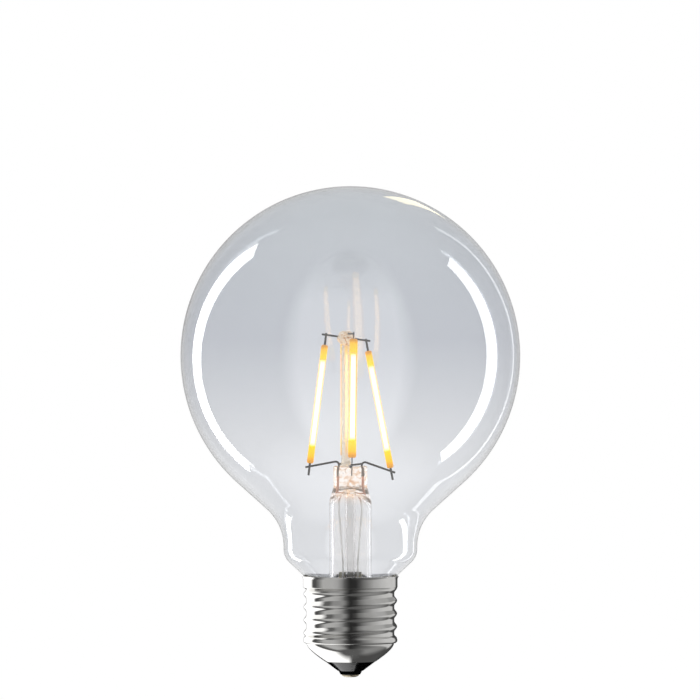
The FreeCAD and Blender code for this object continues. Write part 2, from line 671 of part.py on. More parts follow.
def make_smoothing_capacitor():
    """The smoothing capacitor: a can lying on the board, crimped at one end, with two bent leads."""
    z_axis = Z_SEAT + CAPACITOR_RISE
    y_axis = BOARD_FRONT - CAPACITOR_RADIUS
    start = CAPACITOR_CENTRE_X - CAPACITOR_LENGTH / 2
    end = CAPACITOR_CENTRE_X + CAPACITOR_LENGTH / 2
    groove = end - CAPACITOR_LENGTH / 5
    waist = CAPACITOR_RADIUS - CAPACITOR_GROOVE
    can = turned_points((0, start), (CAPACITOR_RADIUS, start), (CAPACITOR_RADIUS, groove - CAPACITOR_GROOVE),
                        (waist, groove), (CAPACITOR_RADIUS, groove + CAPACITOR_GROOVE),
                        (CAPACITOR_RADIUS, end), (0, end))
    can.rotate(Vector(0, 0, 0), Vector(0, 1, 0), 90)
    can.translate(Vector(0, y_axis, z_axis))
    leads = []
    for step in (-0.5, 0.5):
        z = z_axis + step * CAPACITOR_LEAD_PITCH
        out = end + CAPACITOR_LEAD_REACH
        route = [Vector(end - CAPACITOR_LEAD_REACH, y_axis, z),
                 Vector(out, y_axis, z),
                 Vector(out, BOARD_FRONT, z)]
        leads.append(wire_run(route, COMPONENT_LEAD_RADIUS, 2 * COMPONENT_LEAD_RADIUS))
    return can.fuse(leads)


def make_fuse_resistor():
    """The fusible resistor: a waisted body standing off the board on two bent leads."""
    z_middle = Z_SEAT + RESISTOR_RISE
    y_axis = BOARD_FRONT - RESISTOR_RADIUS - RESISTOR_LEAD_REACH
    half = RESISTOR_LENGTH / 2
    waist = 0.8 * RESISTOR_RADIUS
    body = turned_points((0, -half), (waist, -half),
                         (RESISTOR_RADIUS, -0.8 * half), (RESISTOR_RADIUS, -0.5 * half),
                         (waist, -0.35 * half), (waist, 0.35 * half),
                         (RESISTOR_RADIUS, 0.5 * half), (RESISTOR_RADIUS, 0.8 * half),
                         (waist, half), (0, half))
    body.translate(Vector(RESISTOR_CENTRE_X, y_axis, z_middle))
    leads = []
    for way in (-1, 1):
        out = z_middle + way * (half + RESISTOR_LEAD_REACH)
        route = [Vector(RESISTOR_CENTRE_X, y_axis, z_middle + way * 0.8 * half),
                 Vector(RESISTOR_CENTRE_X, y_axis, out),
                 Vector(RESISTOR_CENTRE_X, BOARD_FRONT, out)]
        leads.append(wire_run(route, COMPONENT_LEAD_RADIUS, 2 * COMPONENT_LEAD_RADIUS))
    return body.fuse(leads)


def make_package(size, centre, lead_pitch):
    """A flat chip package behind the board: a bevelled body with as many bent leads a side as fit."""
    width, height, depth = size
    leads_a_side = 1 + math.floor((width - PACKAGE_LEAD_WIDTH) / lead_pitch)
    low = BOARD_BACK + PACKAGE_STANDOFF
    middle = Vector(centre[0], low, Z_SEAT + centre[1] + depth / 2)
    body = box((middle.x - width / 2, low, middle.z - depth / 2),
               (middle.x + width / 2, low + height, middle.z + depth / 2))
    lid = [edge for edge in body.Edges if abs(edge.BoundBox.YMin - low - height) < 1e-6]
    body = body.makeChamfer(height / 5, lid)
    pieces = []
    for way in (-1, 1):
        side = middle.z + way * depth / 2
        toe = side + way * PACKAGE_LEAD_REACH
        knee = side + way * PACKAGE_LEAD_REACH / 2
        for n in range(leads_a_side):
            x = middle.x + (n - (leads_a_side - 1) / 2) * lead_pitch
            left, right = x - PACKAGE_LEAD_WIDTH / 2, x + PACKAGE_LEAD_WIDTH / 2
            waist = low + height / 2
            arm_z = sorted((side - way * PACKAGE_LEAD_THICKNESS, knee))
            leg_z = sorted((knee - way * PACKAGE_LEAD_THICKNESS, knee))
            foot_z = sorted((knee - way * PACKAGE_LEAD_THICKNESS, toe))
            pieces.append(box((left, waist - PACKAGE_LEAD_THICKNESS, arm_z[0]), (right, waist, arm_z[1])))
            pieces.append(box((left, BOARD_BACK, leg_z[0]), (right, waist, leg_z[1])))
            pieces.append(box((left, BOARD_BACK, foot_z[0]),
                              (right, BOARD_BACK + PACKAGE_LEAD_THICKNESS, foot_z[1])))
    return body.fuse(pieces).removeSplitter()


def make_contact_wire():
    """The insulated wire from the top of the contact's shank to the board's face."""
    z_end = Z_SEAT + CONTACT_WIRE_RISE
    top = Z_FLOOR + CONTACT_SHANK_RISE
    turn = (top + Z_SEAT) / 2 + CAP_WIRE_RADIUS
    return wire_run([Vector(0, 0, top), Vector(0, 0, turn), Vector(CONTACT_WIRE_X, 0, z_end),
                     Vector(CONTACT_WIRE_X, BOARD_FRONT, z_end)], CAP_WIRE_RADIUS, CAP_WIRE_BEND)


def make_shell_wire(shell):
    """The insulated wire from the back of the board to the shell's inside, between two thread crests."""
    height = thread_crest_height(SHELL_WIRE_AZIMUTH) + THREAD_PITCH / 2
    wall = polar(THREAD_ROOT_RADIUS - SHELL_WALL / 2, SHELL_WIRE_AZIMUTH, height)
    knee = Vector(SHELL_WIRE_X, (BOARD_BACK + wall.y) / 2, height)
    wire = wire_run([Vector(SHELL_WIRE_X, BOARD_BACK, height), knee, wall], CAP_WIRE_RADIUS, CAP_WIRE_BEND)
    return max(wire.cut(shell).Solids, key=lambda solid: solid.Volume)


def make_nodes():
    """Every piece of the lamp by name."""
    across, through = make_upper_wires()
    leads = {"left": make_lead("left", -1), "right": make_lead("right", 1)}
    arms = {"back": make_arm("back", -1, leads["left"]), "front": make_arm("front", 1, leads["right"])}
    lead_ins = {"left": make_lead_in(-1), "right": make_lead_in(1)}
    shell = make_screw_shell()
    nodes = {
        "glass_globe": make_glass_globe(),
        "stem_tube": make_stem_tube([*leads.values(), *lead_ins.values()]),
        "exhaust_tube": make_exhaust_tube(),
        "filament_post": make_filament_post([across, through]),
        "upper_wire_across": across,
        "upper_wire_through": through,
        "lead_wire_left": leads["left"],
        "lead_wire_right": leads["right"],
        "branch_wire_back": arms["back"],
        "branch_wire_front": arms["front"],
        "lead_in_wire_left": lead_ins["left"],
        "lead_in_wire_right": lead_ins["right"],
        "screw_shell": shell,
        "insulator": make_insulator(),
        "centre_contact": make_centre_contact(),
        "capping_cement": make_capping_cement(),
        "driver_board": make_driver_board(),
        "smoothing_capacitor": make_smoothing_capacitor(),
        "fuse_resistor": make_fuse_resistor(),
        "bridge_rectifier": make_package(RECTIFIER_SIZE, RECTIFIER_CENTRE, RECTIFIER_LEAD_PITCH),
        "driver_chip": make_package(CHIP_SIZE, CHIP_CENTRE, CHIP_LEAD_PITCH),
        "contact_wire": make_contact_wire(),
        "shell_wire": make_shell_wire(shell),
    }
    lower_wires = {**leads, **arms}
    for name in FILAMENTS:
        upper_wire = across if name in leads else through
        nodes[f"led_filament_{name}"] = make_led_filament(name)
        nodes[f"upper_tab_{name}"] = make_tab(name, "upper", upper_wire)
        nodes[f"lower_tab_{name}"] = make_tab(name, "lower", lower_wires[name])
    return nodes


os.makedirs("parts", exist_ok=True)
for node, shape in make_nodes().items():
    shape.exportStep(f"parts/{node}.step")
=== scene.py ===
"""Looks of the clear globe lamp: blown glass, lit strips on a glass stem and a nickel-plated screw cap.

Metres in the frame of the solids, +Z up along the lamp's axis and its front towards -Y.
Shapes are worked out in millimetres and turned to metres as they go into a mesh.
"""

import math

import bpy
import numpy as np
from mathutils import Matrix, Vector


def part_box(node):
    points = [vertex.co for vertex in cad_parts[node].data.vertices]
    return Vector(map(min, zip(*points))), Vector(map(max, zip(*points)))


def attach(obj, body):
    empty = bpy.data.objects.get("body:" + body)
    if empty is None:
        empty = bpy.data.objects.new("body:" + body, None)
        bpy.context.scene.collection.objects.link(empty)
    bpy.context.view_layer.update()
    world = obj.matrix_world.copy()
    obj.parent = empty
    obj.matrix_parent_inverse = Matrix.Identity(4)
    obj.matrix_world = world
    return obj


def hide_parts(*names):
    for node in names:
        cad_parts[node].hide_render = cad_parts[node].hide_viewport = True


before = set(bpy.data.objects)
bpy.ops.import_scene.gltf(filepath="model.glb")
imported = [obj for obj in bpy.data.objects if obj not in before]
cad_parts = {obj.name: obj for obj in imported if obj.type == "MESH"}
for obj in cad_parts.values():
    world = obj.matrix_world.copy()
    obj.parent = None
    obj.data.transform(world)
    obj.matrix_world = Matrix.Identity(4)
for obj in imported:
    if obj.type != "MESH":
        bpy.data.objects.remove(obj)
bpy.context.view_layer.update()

MM = 0.001
TINY = 1e-6
SHARP_ANGLE = 50.0

# Points on the round stretches of an outline
FINE_EDGE_ROWS = 6
EDGE_ROWS = 8
TIP_ROWS = 12

# Blown globe, its neck and its foot in the cap
GLASS_WALL = 0.8
FLANK_ANGLE = 48.0
NECK_RADIUS = 18.7
NECK_FILLET = 14.0
FOOT_FILLET = 5.0
FOOT_ANGLE = 47.0
FOOT_AT_LIP = 13.0
FOOT_STEP = 1.0
SEAL_RADIUS = 11.3
SEAL_FILLET = 2.5
SPHERE_ROWS = 120
NECK_ROWS = 24
GLOBE_COLUMNS = 224
# Heights between which the globe's body is painted from a pale neck to a greyer crown: painted shade
PAINTED_SHADE_FOOT = 25.0
PAINTED_SHADE_CROWN = 137.0

# Stem tube, its flare and its press. The press is drawn in by a share at its top, lifted at its two
# sides and sunk by a share of that lift
STEM_RADIUS = 5.95
STEM_BORE = 4.85
FLARE_RADIUS = 4.55
FLARE_ROWS = 20
SQUEEZE_START = 49.0
SQUEEZE_LENGTH = 5.2
PRESS_HALF_WIDTH = 4.75
PRESS_HALF_DEPTH = 2.4
PRESS_SQUARENESS = 3.0
PRESS_HEIGHT = 3.0
PRESS_EDGE = 0.9
PRESS_DRAW = 0.12
PRESS_DRAW_HEIGHT = 1.0
PRESS_LIFT = 0.9
PRESS_LIFT_HEIGHT = 4.0
PRESS_SINK = 0.12
PRESS_STEP = 0.5
CAVITY_DOME = 4.0
CAVITY_TILT = 0.06
CAVITY_ROWS = 16
TUBE_STEP = 1.5
STEM_COLUMNS = 128
RIPPLE_FADE = 4.0
SEAL_START = 49.5
SEAL_FADE = 1.0

# Exhaust tube
EXHAUST_BORE = 0.95
GLASS_GAP = 0.05
EXHAUST_COLUMNS = 64

# Post and bead. A fold has its depth as a share of the radius, its number round the bead and its
# winding. The glass turns milky between two depths below its top, in half heights of the bead
POST_RADIUS = 1.3
POST_FOOT_RADIUS = 1.6
POST_FOOT_HEIGHT = 1.2
POST_FOOT_FILLET = 0.6
POST_STEP = 0.6
POST_COLUMNS = 96
BEAD_HALF_HEIGHT = 1.9
BEAD_RADIUS = 2.6
BEAD_ROWS = 40
FOLD_REACH = 1.15
FOLD_DRAW = 0.05
FOLDS = [(0.05, 2, 3), (0.04, 3, -5)]
MILKY_START = 2.3
MILKY_FULL = 1.9

# Light strips: a lit core in a clear yellow coat
COAT_EDGE = 0.5
CORE_EDGE = 0.2
CORE_SHRINK = 0.58
CORE_START = 0.145
CORE_END = 0.875
STRIP_POWER = 0.8
STRIP_ROWS = 60
STRIP_EDGE_ROWS = 10
STRIP_COLUMNS = 48

# Screw shell
SHELL_WALL = 0.3
MOUTH_RADIUS = 7.1
CONE_ANGLE = 34.0
CONE_ROWS = 28
SHOULDER_CREST = (13.15, 10.25)
SHOULDER_WAIST = 12.2
SHOULDER_RISE = 1.35
SHOULDER_DROP = 0.75
THREAD_ROOT = 12.3
THREAD_HEIGHT = 0.78
THREAD_PITCH = 3.629
THREAD_START = -30.0
THREAD_WIDTH = 3.0
THREAD_RUN_IN = 1.0
THREAD_BASE = 11.3
THREAD_TOP = 24.4
THREAD_STEP = 0.06
SWELL_POWER = 8
COLLAR_BASE = 25.3
COLLAR_RADIUS = 13.2
LIP_BASE = 27.6
LIP_RADIUS = 13.6
SHELL_STEP = 1.0
SHELL_COLUMNS = 216

# Insulator and end contact
BOSS_TIP_RADIUS = 2.75
BOSS_RADIUS = 3.3
BOSS_TOP = 1.8
CONE_START_RADIUS = 3.55
MOUTH_GAP = 0.1
DISH_RADIUS = 5.0
DISH_RISE = 3.0
EDGE_ROUNDING = 0.25
FINE_ROUNDING = 0.1
INSULATOR_STEP = 0.5
INSULATOR_COLUMNS = 128
SHANK_RADIUS = 0.8
CONTACT_RADIUS = 2.4
CONTACT_HEIGHT = 0.75
CONTACT_BULGE = 0.5
CONTACT_DIMPLE = 0.12
DIMPLE_SHARE = 0.3
CONTACT_ROWS = 24
CONTACT_COLUMNS = 96

# Camera and studio, with lengths in metres and the sensor in millimetres
CAMERA_DISTANCE = 1.8
CAMERA_HEIGHT = 0.0915
CAMERA_SIDE = -0.0001
FRAME_PIXELS = 700
PIXELS_PER_METRE = 3575
SENSOR = 36.0
FLOOR_HEIGHT = -0.15
FLOOR_SIDE = 60.0
PAPER = "#f2f2f2"
SKY_LIGHT = 0.7
LAMP_MIDDLE = (0.0, 0.0, 0.09)

# Panels, their light as a radiance
SIDE_PANELS = {
    "strip_left": {"place": (-0.655, 0.459, 0.125), "width": 0.185, "height": 1.45, "radiance": 9.0,
                   "lean": 7.0},
    "strip_right": {"place": (0.748, 0.255, 0.06), "width": 0.17, "height": 1.55, "radiance": 8.0},
    "glint_behind": {"place": (0.17, 0.78, 0.53), "width": 0.09, "height": 0.26, "radiance": 2.1,
                     "colour": "#fff0c0"}}
INNER_PANELS = {
    "inner_strip_left": {"place": (-0.63, 0.493, 0.1), "width": 0.055, "height": 1.5, "radiance": 4.0},
    "inner_strip_right": {"place": (0.467, 0.65, 0.06), "width": 0.045, "height": 1.5, "radiance": 2.4}}
INSULATOR_CARD = {"place": (-0.03, 0.08, -0.13), "width": 0.094, "height": 0.1, "radiance": 1.8}
SOFTBOX = {"place": (-0.9, -0.75, 0.55), "width": 0.8, "height": 0.8, "radiance": 1.2, "hidden": "glossy"}

# Tents that only mirrors see: brightness by degrees round to the left from the front, then bands higher
# up or lower down that take its place between two shares of the radius in height. The flag is a flat
# ring over the cap, which keeps the globe out of the shell's upward flanks
TENT_WHITE = 3.0
TENT_ROWS = 24
TENT_COLUMNS = 48
CAP_LEFT = [(0, 0.03), (6, 0.06), (14, 0.14), (22, 0.32), (32, 0.48), (45, 0.56), (70, 0.58), (84, 0.25),
            (95, 0.1), (105, 0.12), (112, 1.6)]
CAP_RIGHT = [(210, 0.08), (220, 0.76), (260, 0.74), (300, 0.5), (326, 0.22), (336, 0.1), (346, 0.035),
             (360, 0.03)]
CAP_LOW_RIGHT = [(174, 1.6), (186, 0.09), (215, 0.09), (238, 0.3), (264, 0.32), (300, 0.2), (340, 0.07),
                 (360, 0.03)]
CAP_TENT = {
    "radius": 2.8,
    "round": CAP_LEFT + [(164, 1.6), (168, 0.05)] + CAP_RIGHT,
    "bands": [(-0.42, -0.52, CAP_LEFT + CAP_LOW_RIGHT),
              (-0.915, -0.975, [(0, 0.13), (360, 0.13)]),
              (0.93, 0.99, [(0, 0.3), (360, 0.3)])]}
CAP_FLAG = {
    "inner": 0.0138, "outer": 0.04, "height": 0.0286,
    "round": [(0, 0.03), (3, 0.05), (7, 0.12), (11, 0.24), (16, 0.34), (35, 0.34), (45, 0.16), (56, 0.16),
              (72, 1.4), (155, 1.4), (165, 0.4), (265, 0.4), (275, 0.5), (310, 0.5), (330, 0.38), (343, 0.2),
              (350, 0.08), (360, 0.03)]}
GLASS_LEFT = [(0, 2.6), (35, 2.6), (48, 0.05), (98, 0.03), (104, 0.16), (142, 0.16)]
GLASS_RIGHT = [(218, 0.18), (246, 0.18), (252, 0.03), (314, 0.05), (327, 2.6), (360, 2.6)]
GLASS_TENT = {
    "radius": 3.0,
    "round": GLASS_LEFT + [(158, 0.44), (180, 0.52), (202, 0.44)] + GLASS_RIGHT,
    "bands": [(-0.05, -0.3, GLASS_LEFT + [(158, 0.65), (180, 0.8), (202, 0.65)] + GLASS_RIGHT),
              (-0.7, -0.97, [(0, 1.35), (360, 1.35)]),
              (0.6, 0.97, [(0, 0.5), (360, 0.5)])]}


# Outlines and grids

def arc(centre, radius, start, end, count):
    """Points (radius, height) of a round stretch: the centre plus the radius at evenly spaced bearings."""
    bearing = np.radians(np.linspace(start, end, count))
    return np.column_stack([centre[0] + radius * np.cos(bearing), centre[1] + radius * np.sin(bearing)])


def dome_outline(radius, foot, rise):
    """Points of a dome: a quarter ellipse from the bore, which is left out, up to a pole on the axis."""
    bearing = np.linspace(0, np.pi / 2, CAVITY_ROWS)[1:]
    outline = np.column_stack([radius * np.cos(bearing), foot + rise * np.sin(bearing)])
    outline[-1, 0] = 0
    return outline


def filleted(corners, count):
    """Straight runs through corners (radius, height, fillet), each corner replaced by its tangent arc.

    The arc starts and ends where the runs lie fillet times the tangent of half the turn from the corner,
    and its points come from turning the start's spoke about the arc's centre.
    """
    points = np.array([corner[:2] for corner in corners], float)
    rounded = [points[:1]]
    for before, corner, after, given in zip(points, points[1:], points[2:], corners[1:]):
        into = (corner - before) / np.linalg.norm(corner - before)
        out = (after - corner) / np.linalg.norm(after - corner)
        turn = math.atan2(into[0] * out[1] - into[1] * out[0], into @ out)
        if given[2] == 0 or abs(turn) < TINY:
            rounded.append(corner[None])
            continue
        start = corner - into * given[2] * math.tan(abs(turn) / 2)
        spoke = np.array([into[1], -into[0]]) * math.copysign(given[2], turn)
        swept = np.linspace(0, turn, count)[:, None]
        turned_spoke = np.hstack([spoke[0] * np.cos(swept) - spoke[1] * np.sin(swept),
                                  spoke[0] * np.sin(swept) + spoke[1] * np.cos(swept)])
        rounded.append(start - spoke + turned_spoke)
    rounded.append(points[-1:])
    return np.vstack(rounded)


def spaced(outline, step):
    """The outline with points added along its longer runs, so that none is longer than the step."""
    runs = np.linalg.norm(np.diff(outline, axis=0), axis=1)
    places = np.concatenate([[0], np.cumsum(runs)])
    wanted = np.unique(np.concatenate([places, np.arange(0, places[-1], step)]))
    return np.column_stack([np.interp(wanted, places, outline[:, n]) for n in (0, 1)])


def bearings(columns):
    """Evenly spaced angles once round, one for each column."""
    return np.linspace(0, 2 * np.pi, columns, endpoint=False)


def eased(share):
    """A share that starts and ends gently: three times its square less twice its cube."""
    return share * share * (3 - 2 * share)


def rounded_oblong(angle, power):
    """The cosine and the sine of the angle, each raised to the power with its sign kept."""
    return [np.sign(wave) * np.abs(wave) ** power for wave in (np.cos(angle), np.sin(angle))]


def turned(outline, columns):
    """A grid of points: each (radius, height) of the outline carried round the axis."""
    angle = bearings(columns)
    radius, height = outline[:, :1], outline[:, 1:]
    return np.stack([radius * np.cos(angle), radius * np.sin(angle), height + 0 * angle], -1)


def faces_round(index):
    """The four corners of each face between the rows of a grid whose columns meet round the back."""
    low, high = index[:-1], index[1:]
    return np.stack([low, np.roll(low, -1, 1), np.roll(high, -1, 1), high], -1).reshape(-1, 4)


def surface(name, grid, material, slot, *nodes, levels=None):
    """A closed piece from a grid of points in millimetres, rows by columns that meet round the back.

    A first or last row drawn to one point becomes a pole with a fan of triangles. If neither is, the last
    row meets the first. The faces are turned outwards by the sign of the volume that they enclose. The UV
    map holds the share of the way round and along: levels gives each row's share, or rows count evenly.
    """
    rows, columns = grid.shape[:2]
    index = np.arange(rows * columns).reshape(rows, columns)
    poles = [row for row in (0, rows - 1) if np.ptp(grid[row], axis=0).max() < TINY]
    for row in poles:
        index[row] = index[row, 0]
    if not poles:
        index = np.vstack([index, index[:1]])
    quads = faces_round(index)
    across, along = np.meshgrid(np.arange(columns), np.arange(len(index) - 1))
    steps = np.array([(0, 0), (1, 0), (1, 1), (0, 1)])
    corner_at = np.stack([across.ravel(), along.ravel()], -1)[:, None] + steps
    levels = np.linspace(0, 1, len(index)) if levels is None else levels
    share = np.stack([corner_at[..., 0] / columns, levels[corner_at[..., 1]]], -1)
    keep = np.column_stack([np.ones(len(quads), bool), quads[:, 1] != quads[:, 0],
                            np.ones(len(quads), bool), quads[:, 3] != quads[:, 2]])
    points = grid.reshape(-1, 3) * MM
    first, second, third, fourth = [points[quads[:, n]] for n in range(4)]
    volume = np.einsum("ij,ij->", first, np.cross(second, third) + np.cross(third, fourth))
    if volume < 0:
        quads, share, keep = quads[:, ::-1], share[:, ::-1], keep[:, ::-1]
    used, corners = np.unique(quads[keep], return_inverse=True)
    ends = np.cumsum(keep.sum(1))
    mesh = bpy.data.meshes.new(name)
    mesh.from_pydata(points[used].tolist(), [], [part.tolist() for part in np.split(corners, ends[:-1])])
    uv_map = mesh.uv_layers.new(name="around_and_along")
    uv_map.data.foreach_set("uv", share[keep].astype(np.float32).ravel())
    mesh.polygons.foreach_set("use_smooth", np.ones(len(mesh.polygons), bool))
    mesh.set_sharp_from_angle(angle=math.radians(SHARP_ANGLE))
    mesh.materials.append(material)
    piece = bpy.data.objects.new(name, mesh)
    bpy.context.scene.collection.objects.link(piece)
    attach(piece, "root")
    if nodes:
        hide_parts(*nodes)
    return piece


# Materials

def paint(code):
    """The linear colour of an sRGB hex code."""
    shares = np.array([int(code[n:n + 2], 16) for n in (1, 3, 5)]) / 255
    linear = np.where(shares <= 0.04045, shares / 12.92, ((shares + 0.055) / 1.055) ** 2.4)
    return (*linear, 1.0)


def grey(level):
    """The linear grey of that level."""
    return (level, level, level, 1.0)


def repeats(size):
    """How many repeats a metre a pattern has whose features are that many millimetres wide."""
    return 1 / (size * MM)


def add(tree, kind, links=None, stops=(), **settings):
    """Adds one node with its settings, its ramp stops, and its inputs as links or plain values."""
    made = tree.nodes.new(kind)
    for name, value in settings.items():
        setattr(made, name, value)
    for n, (place, colour) in enumerate(stops):
        stop = made.color_ramp.elements[n] if n < 2 else made.color_ramp.elements.new(place)
        stop.position = place
        stop.color = colour
    for socket, value in (links or {}).items():
        if isinstance(value, bpy.types.NodeSocket):
            tree.links.new(value, made.inputs[socket])
        else:
            made.inputs[socket].default_value = value
    return made


def finish(name, sockets):
    """A new material whose Principled shader has the given values, with its tree and its coordinates."""
    material = bpy.data.materials.new(name)
    material.use_nodes = True
    tree = material.node_tree
    for socket, value in sockets.items():
        tree.nodes["Principled BSDF"].inputs[socket].default_value = value
    return material, tree, add(tree, "ShaderNodeTexCoord")


def joined(material, sockets):
    """The material with sockets of its shader linked to the outputs of other nodes."""
    tree = material.node_tree
    for socket, output in sockets.items():
        tree.links.new(output, tree.nodes["Principled BSDF"].inputs[socket])
    return material


def mottled(name, sockets, size, detail, tones, spread, dull=None, strength=0.5, depth=None):
    """A material with one mottle, whose features and relief are in millimetres.

    The mottle blends two tones from the spread below its middle to the spread above. Where dull gives two
    ends of the roughness, that follows the mottle too, and where there is a depth, so does a fine relief.
    """
    material, tree, place = finish(name, sockets)
    mottle = add(tree, "ShaderNodeTexNoise", {
        "Vector": place.outputs["Object"], "Scale": repeats(size), "Detail": detail}).outputs["Fac"]
    tone = add(tree, "ShaderNodeValToRGB", {"Fac": mottle}, stops=[
        (0.5 - spread, paint(tones[0])), (0.5 + spread, paint(tones[1]))])
    links = {"Base Color": tone.outputs["Color"]}
    if dull:
        rough = add(tree, "ShaderNodeMapRange", {"Value": mottle, "To Min": dull[0], "To Max": dull[1]})
        links["Roughness"] = rough.outputs["Result"]
    if depth:
        bump = add(tree, "ShaderNodeBump", {"Height": mottle, "Strength": strength, "Distance": depth * MM})
        links["Normal"] = bump.outputs["Normal"]
    return joined(material, links)


def blown_clear_glass():
    """Soda-lime glass blown in a mould: clear, with a slight grey body and a soft swell from the blowing.

    Its body colour is painted paler at the neck and greyer towards the crown, a painted shade.
    """
    material, tree, place = finish("blown_clear_glass", {
        "Roughness": 0.0, "IOR": 1.5, "Transmission Weight": 1.0})
    split = add(tree, "ShaderNodeSeparateXYZ", {"Vector": place.outputs["Object"]})
    height = add(tree, "ShaderNodeMapRange", {
        "Value": split.outputs["Z"], "From Min": PAINTED_SHADE_FOOT * MM, "From Max": PAINTED_SHADE_CROWN * MM})
    # Painted shade: the body greys from a pale neck, with a paler band low on the sphere, to a darker crown
    body = add(tree, "ShaderNodeValToRGB", {"Fac": height.outputs["Result"]}, stops=[
        (0.0, paint("#eff0f2")), (1.0, paint("#dee1e4")), (0.14, paint("#eff0f2")),
        (0.27, paint("#f3f4f6")), (0.36, paint("#f0f1f3")), (0.62, paint("#e0e2e6"))])
    swell = add(tree, "ShaderNodeTexNoise", {
        "Vector": place.outputs["Object"], "Scale": repeats(35), "Detail": 1.0})
    bump = add(tree, "ShaderNodeBump", {
        "Height": swell.outputs["Fac"], "Strength": 1.0, "Distance": 0.03 * MM})
    return joined(material, {"Base Color": body.outputs["Color"], "Normal": bump.outputs["Normal"]})


def drawn_stem_glass():
    """Lead glass tube, drawn and pressed hot: clear, with draw lines along it and ripples in the press.

    The eye sees a clean tube under a wrinkled press. The press has painted warm reflections and shade along
    its ripples and a faint painted glow, which stand in for the warm light above it.
    """
    # The emission colour is the warm tint of the press's painted glow
    material, tree, place = finish("drawn_stem_glass", {
        "Roughness": 0.0, "IOR": 1.54, "Transmission Weight": 1.0, "Emission Color": paint("#ffd9b4")})
    stretched = add(tree, "ShaderNodeMapping", {
        "Vector": place.outputs["Object"], "Scale": (repeats(1.6), repeats(1.6), repeats(30))})
    lines = add(tree, "ShaderNodeTexNoise", {
        "Vector": stretched.outputs["Vector"], "Scale": 1.0, "Detail": 2.0})
    ripple = add(tree, "ShaderNodeTexNoise", {
        "Vector": place.outputs["Object"], "Scale": repeats(1.8), "Detail": 2.0, "Distortion": 1.2})
    split = add(tree, "ShaderNodeSeparateXYZ", {"Vector": place.outputs["Object"]})
    press = add(tree, "ShaderNodeMapRange", {
        "Value": split.outputs["Z"], "From Min": SQUEEZE_START * MM,
        "From Max": (SQUEEZE_START + RIPPLE_FADE) * MM}).outputs["Result"]
    height = add(tree, "ShaderNodeMix", {
        "Factor": press, "A": lines.outputs["Fac"], "B": ripple.outputs["Fac"]})
    depth = add(tree, "ShaderNodeMapRange", {"Value": press, "To Min": 0.15, "To Max": 1.0})
    bump = add(tree, "ShaderNodeBump", {
        "Height": height.outputs["Result"], "Strength": depth.outputs["Result"], "Distance": 0.2 * MM})
    # Painted reflections and shade: peach, brown and white streaks along the ripples of the press
    painted_warm_ripples = add(tree, "ShaderNodeValToRGB", {"Fac": ripple.outputs["Fac"]}, stops=[
        (0.36, paint("#d2a078")), (0.44, paint("#f8e8d8")), (0.52, paint("#fffcf8"))])
    body = add(tree, "ShaderNodeMix", {
        "Factor": press, "A": paint("#faf9f8"), "B": painted_warm_ripples.outputs["Color"]}, data_type="RGBA")
    # Painted glow: emission that rises to 0.12 in the press, though the glass is no lamp
    light = add(tree, "ShaderNodeMapRange", {"Value": press, "To Min": 0.0, "To Max": 0.12})
    return joined(material, {"Base Color": body.outputs["Result"], "Normal": bump.outputs["Normal"],
                             "Emission Strength": light.outputs["Result"]})


def melted_bead_glass():
    """Glass rod whose end was melted round two wires: clear along the rod, milky and folded at the bead.

    The eye sees a bead that glows cream in its folds: a painted glow, with painted warm light on the folds
    and painted shade in their creases, standing in for the strips' light.
    """
    # The emission colour is the cream of the bead's painted glow
    material, tree, place = finish("melted_bead_glass", {
        "IOR": 1.52, "Roughness": 0.08, "Emission Color": paint("#ffdca8")})
    split = add(tree, "ShaderNodeSeparateXYZ", {"Vector": place.outputs["Object"]})
    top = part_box("filament_post")[1].z
    bead = add(tree, "ShaderNodeMapRange", {
        "Value": split.outputs["Z"], "From Min": top - MILKY_START * BEAD_HALF_HEIGHT * MM,
        "From Max": top - MILKY_FULL * BEAD_HALF_HEIGHT * MM}).outputs["Result"]
    clear = add(tree, "ShaderNodeMapRange", {"Value": bead, "To Min": 0.85, "To Max": 0.15})
    # Painted glow: emission that rises where the glass turns milky, though the bead is no lamp
    light = add(tree, "ShaderNodeMapRange", {"Value": bead, "To Min": 0.04, "To Max": 0.28})
    folds = add(tree, "ShaderNodeTexNoise", {
        "Vector": place.outputs["Object"], "Scale": repeats(1.3), "Detail": 3.0, "Distortion": 2.5})
    # Painted warm light and shade: cream and white on the folds, dark orange in their creases
    body = add(tree, "ShaderNodeValToRGB", {"Fac": folds.outputs["Fac"]}, stops=[
        (0.36, paint("#b86c38")), (0.44, paint("#f2cba0")), (0.5, paint("#fff4e2")),
        (0.66, paint("#fffaf0"))])
    rod_and_painted_bead = add(tree, "ShaderNodeMix", {
        "Factor": bead, "A": paint("#fff6e6"), "B": body.outputs["Color"]}, data_type="RGBA")
    bump = add(tree, "ShaderNodeBump", {
        "Height": folds.outputs["Fac"], "Strength": 0.8, "Distance": 0.3 * MM})
    return joined(material, {
        "Base Color": rod_and_painted_bead.outputs["Result"], "Transmission Weight": clear.outputs["Result"],
        "Emission Strength": light.outputs["Result"], "Normal": bump.outputs["Normal"]})


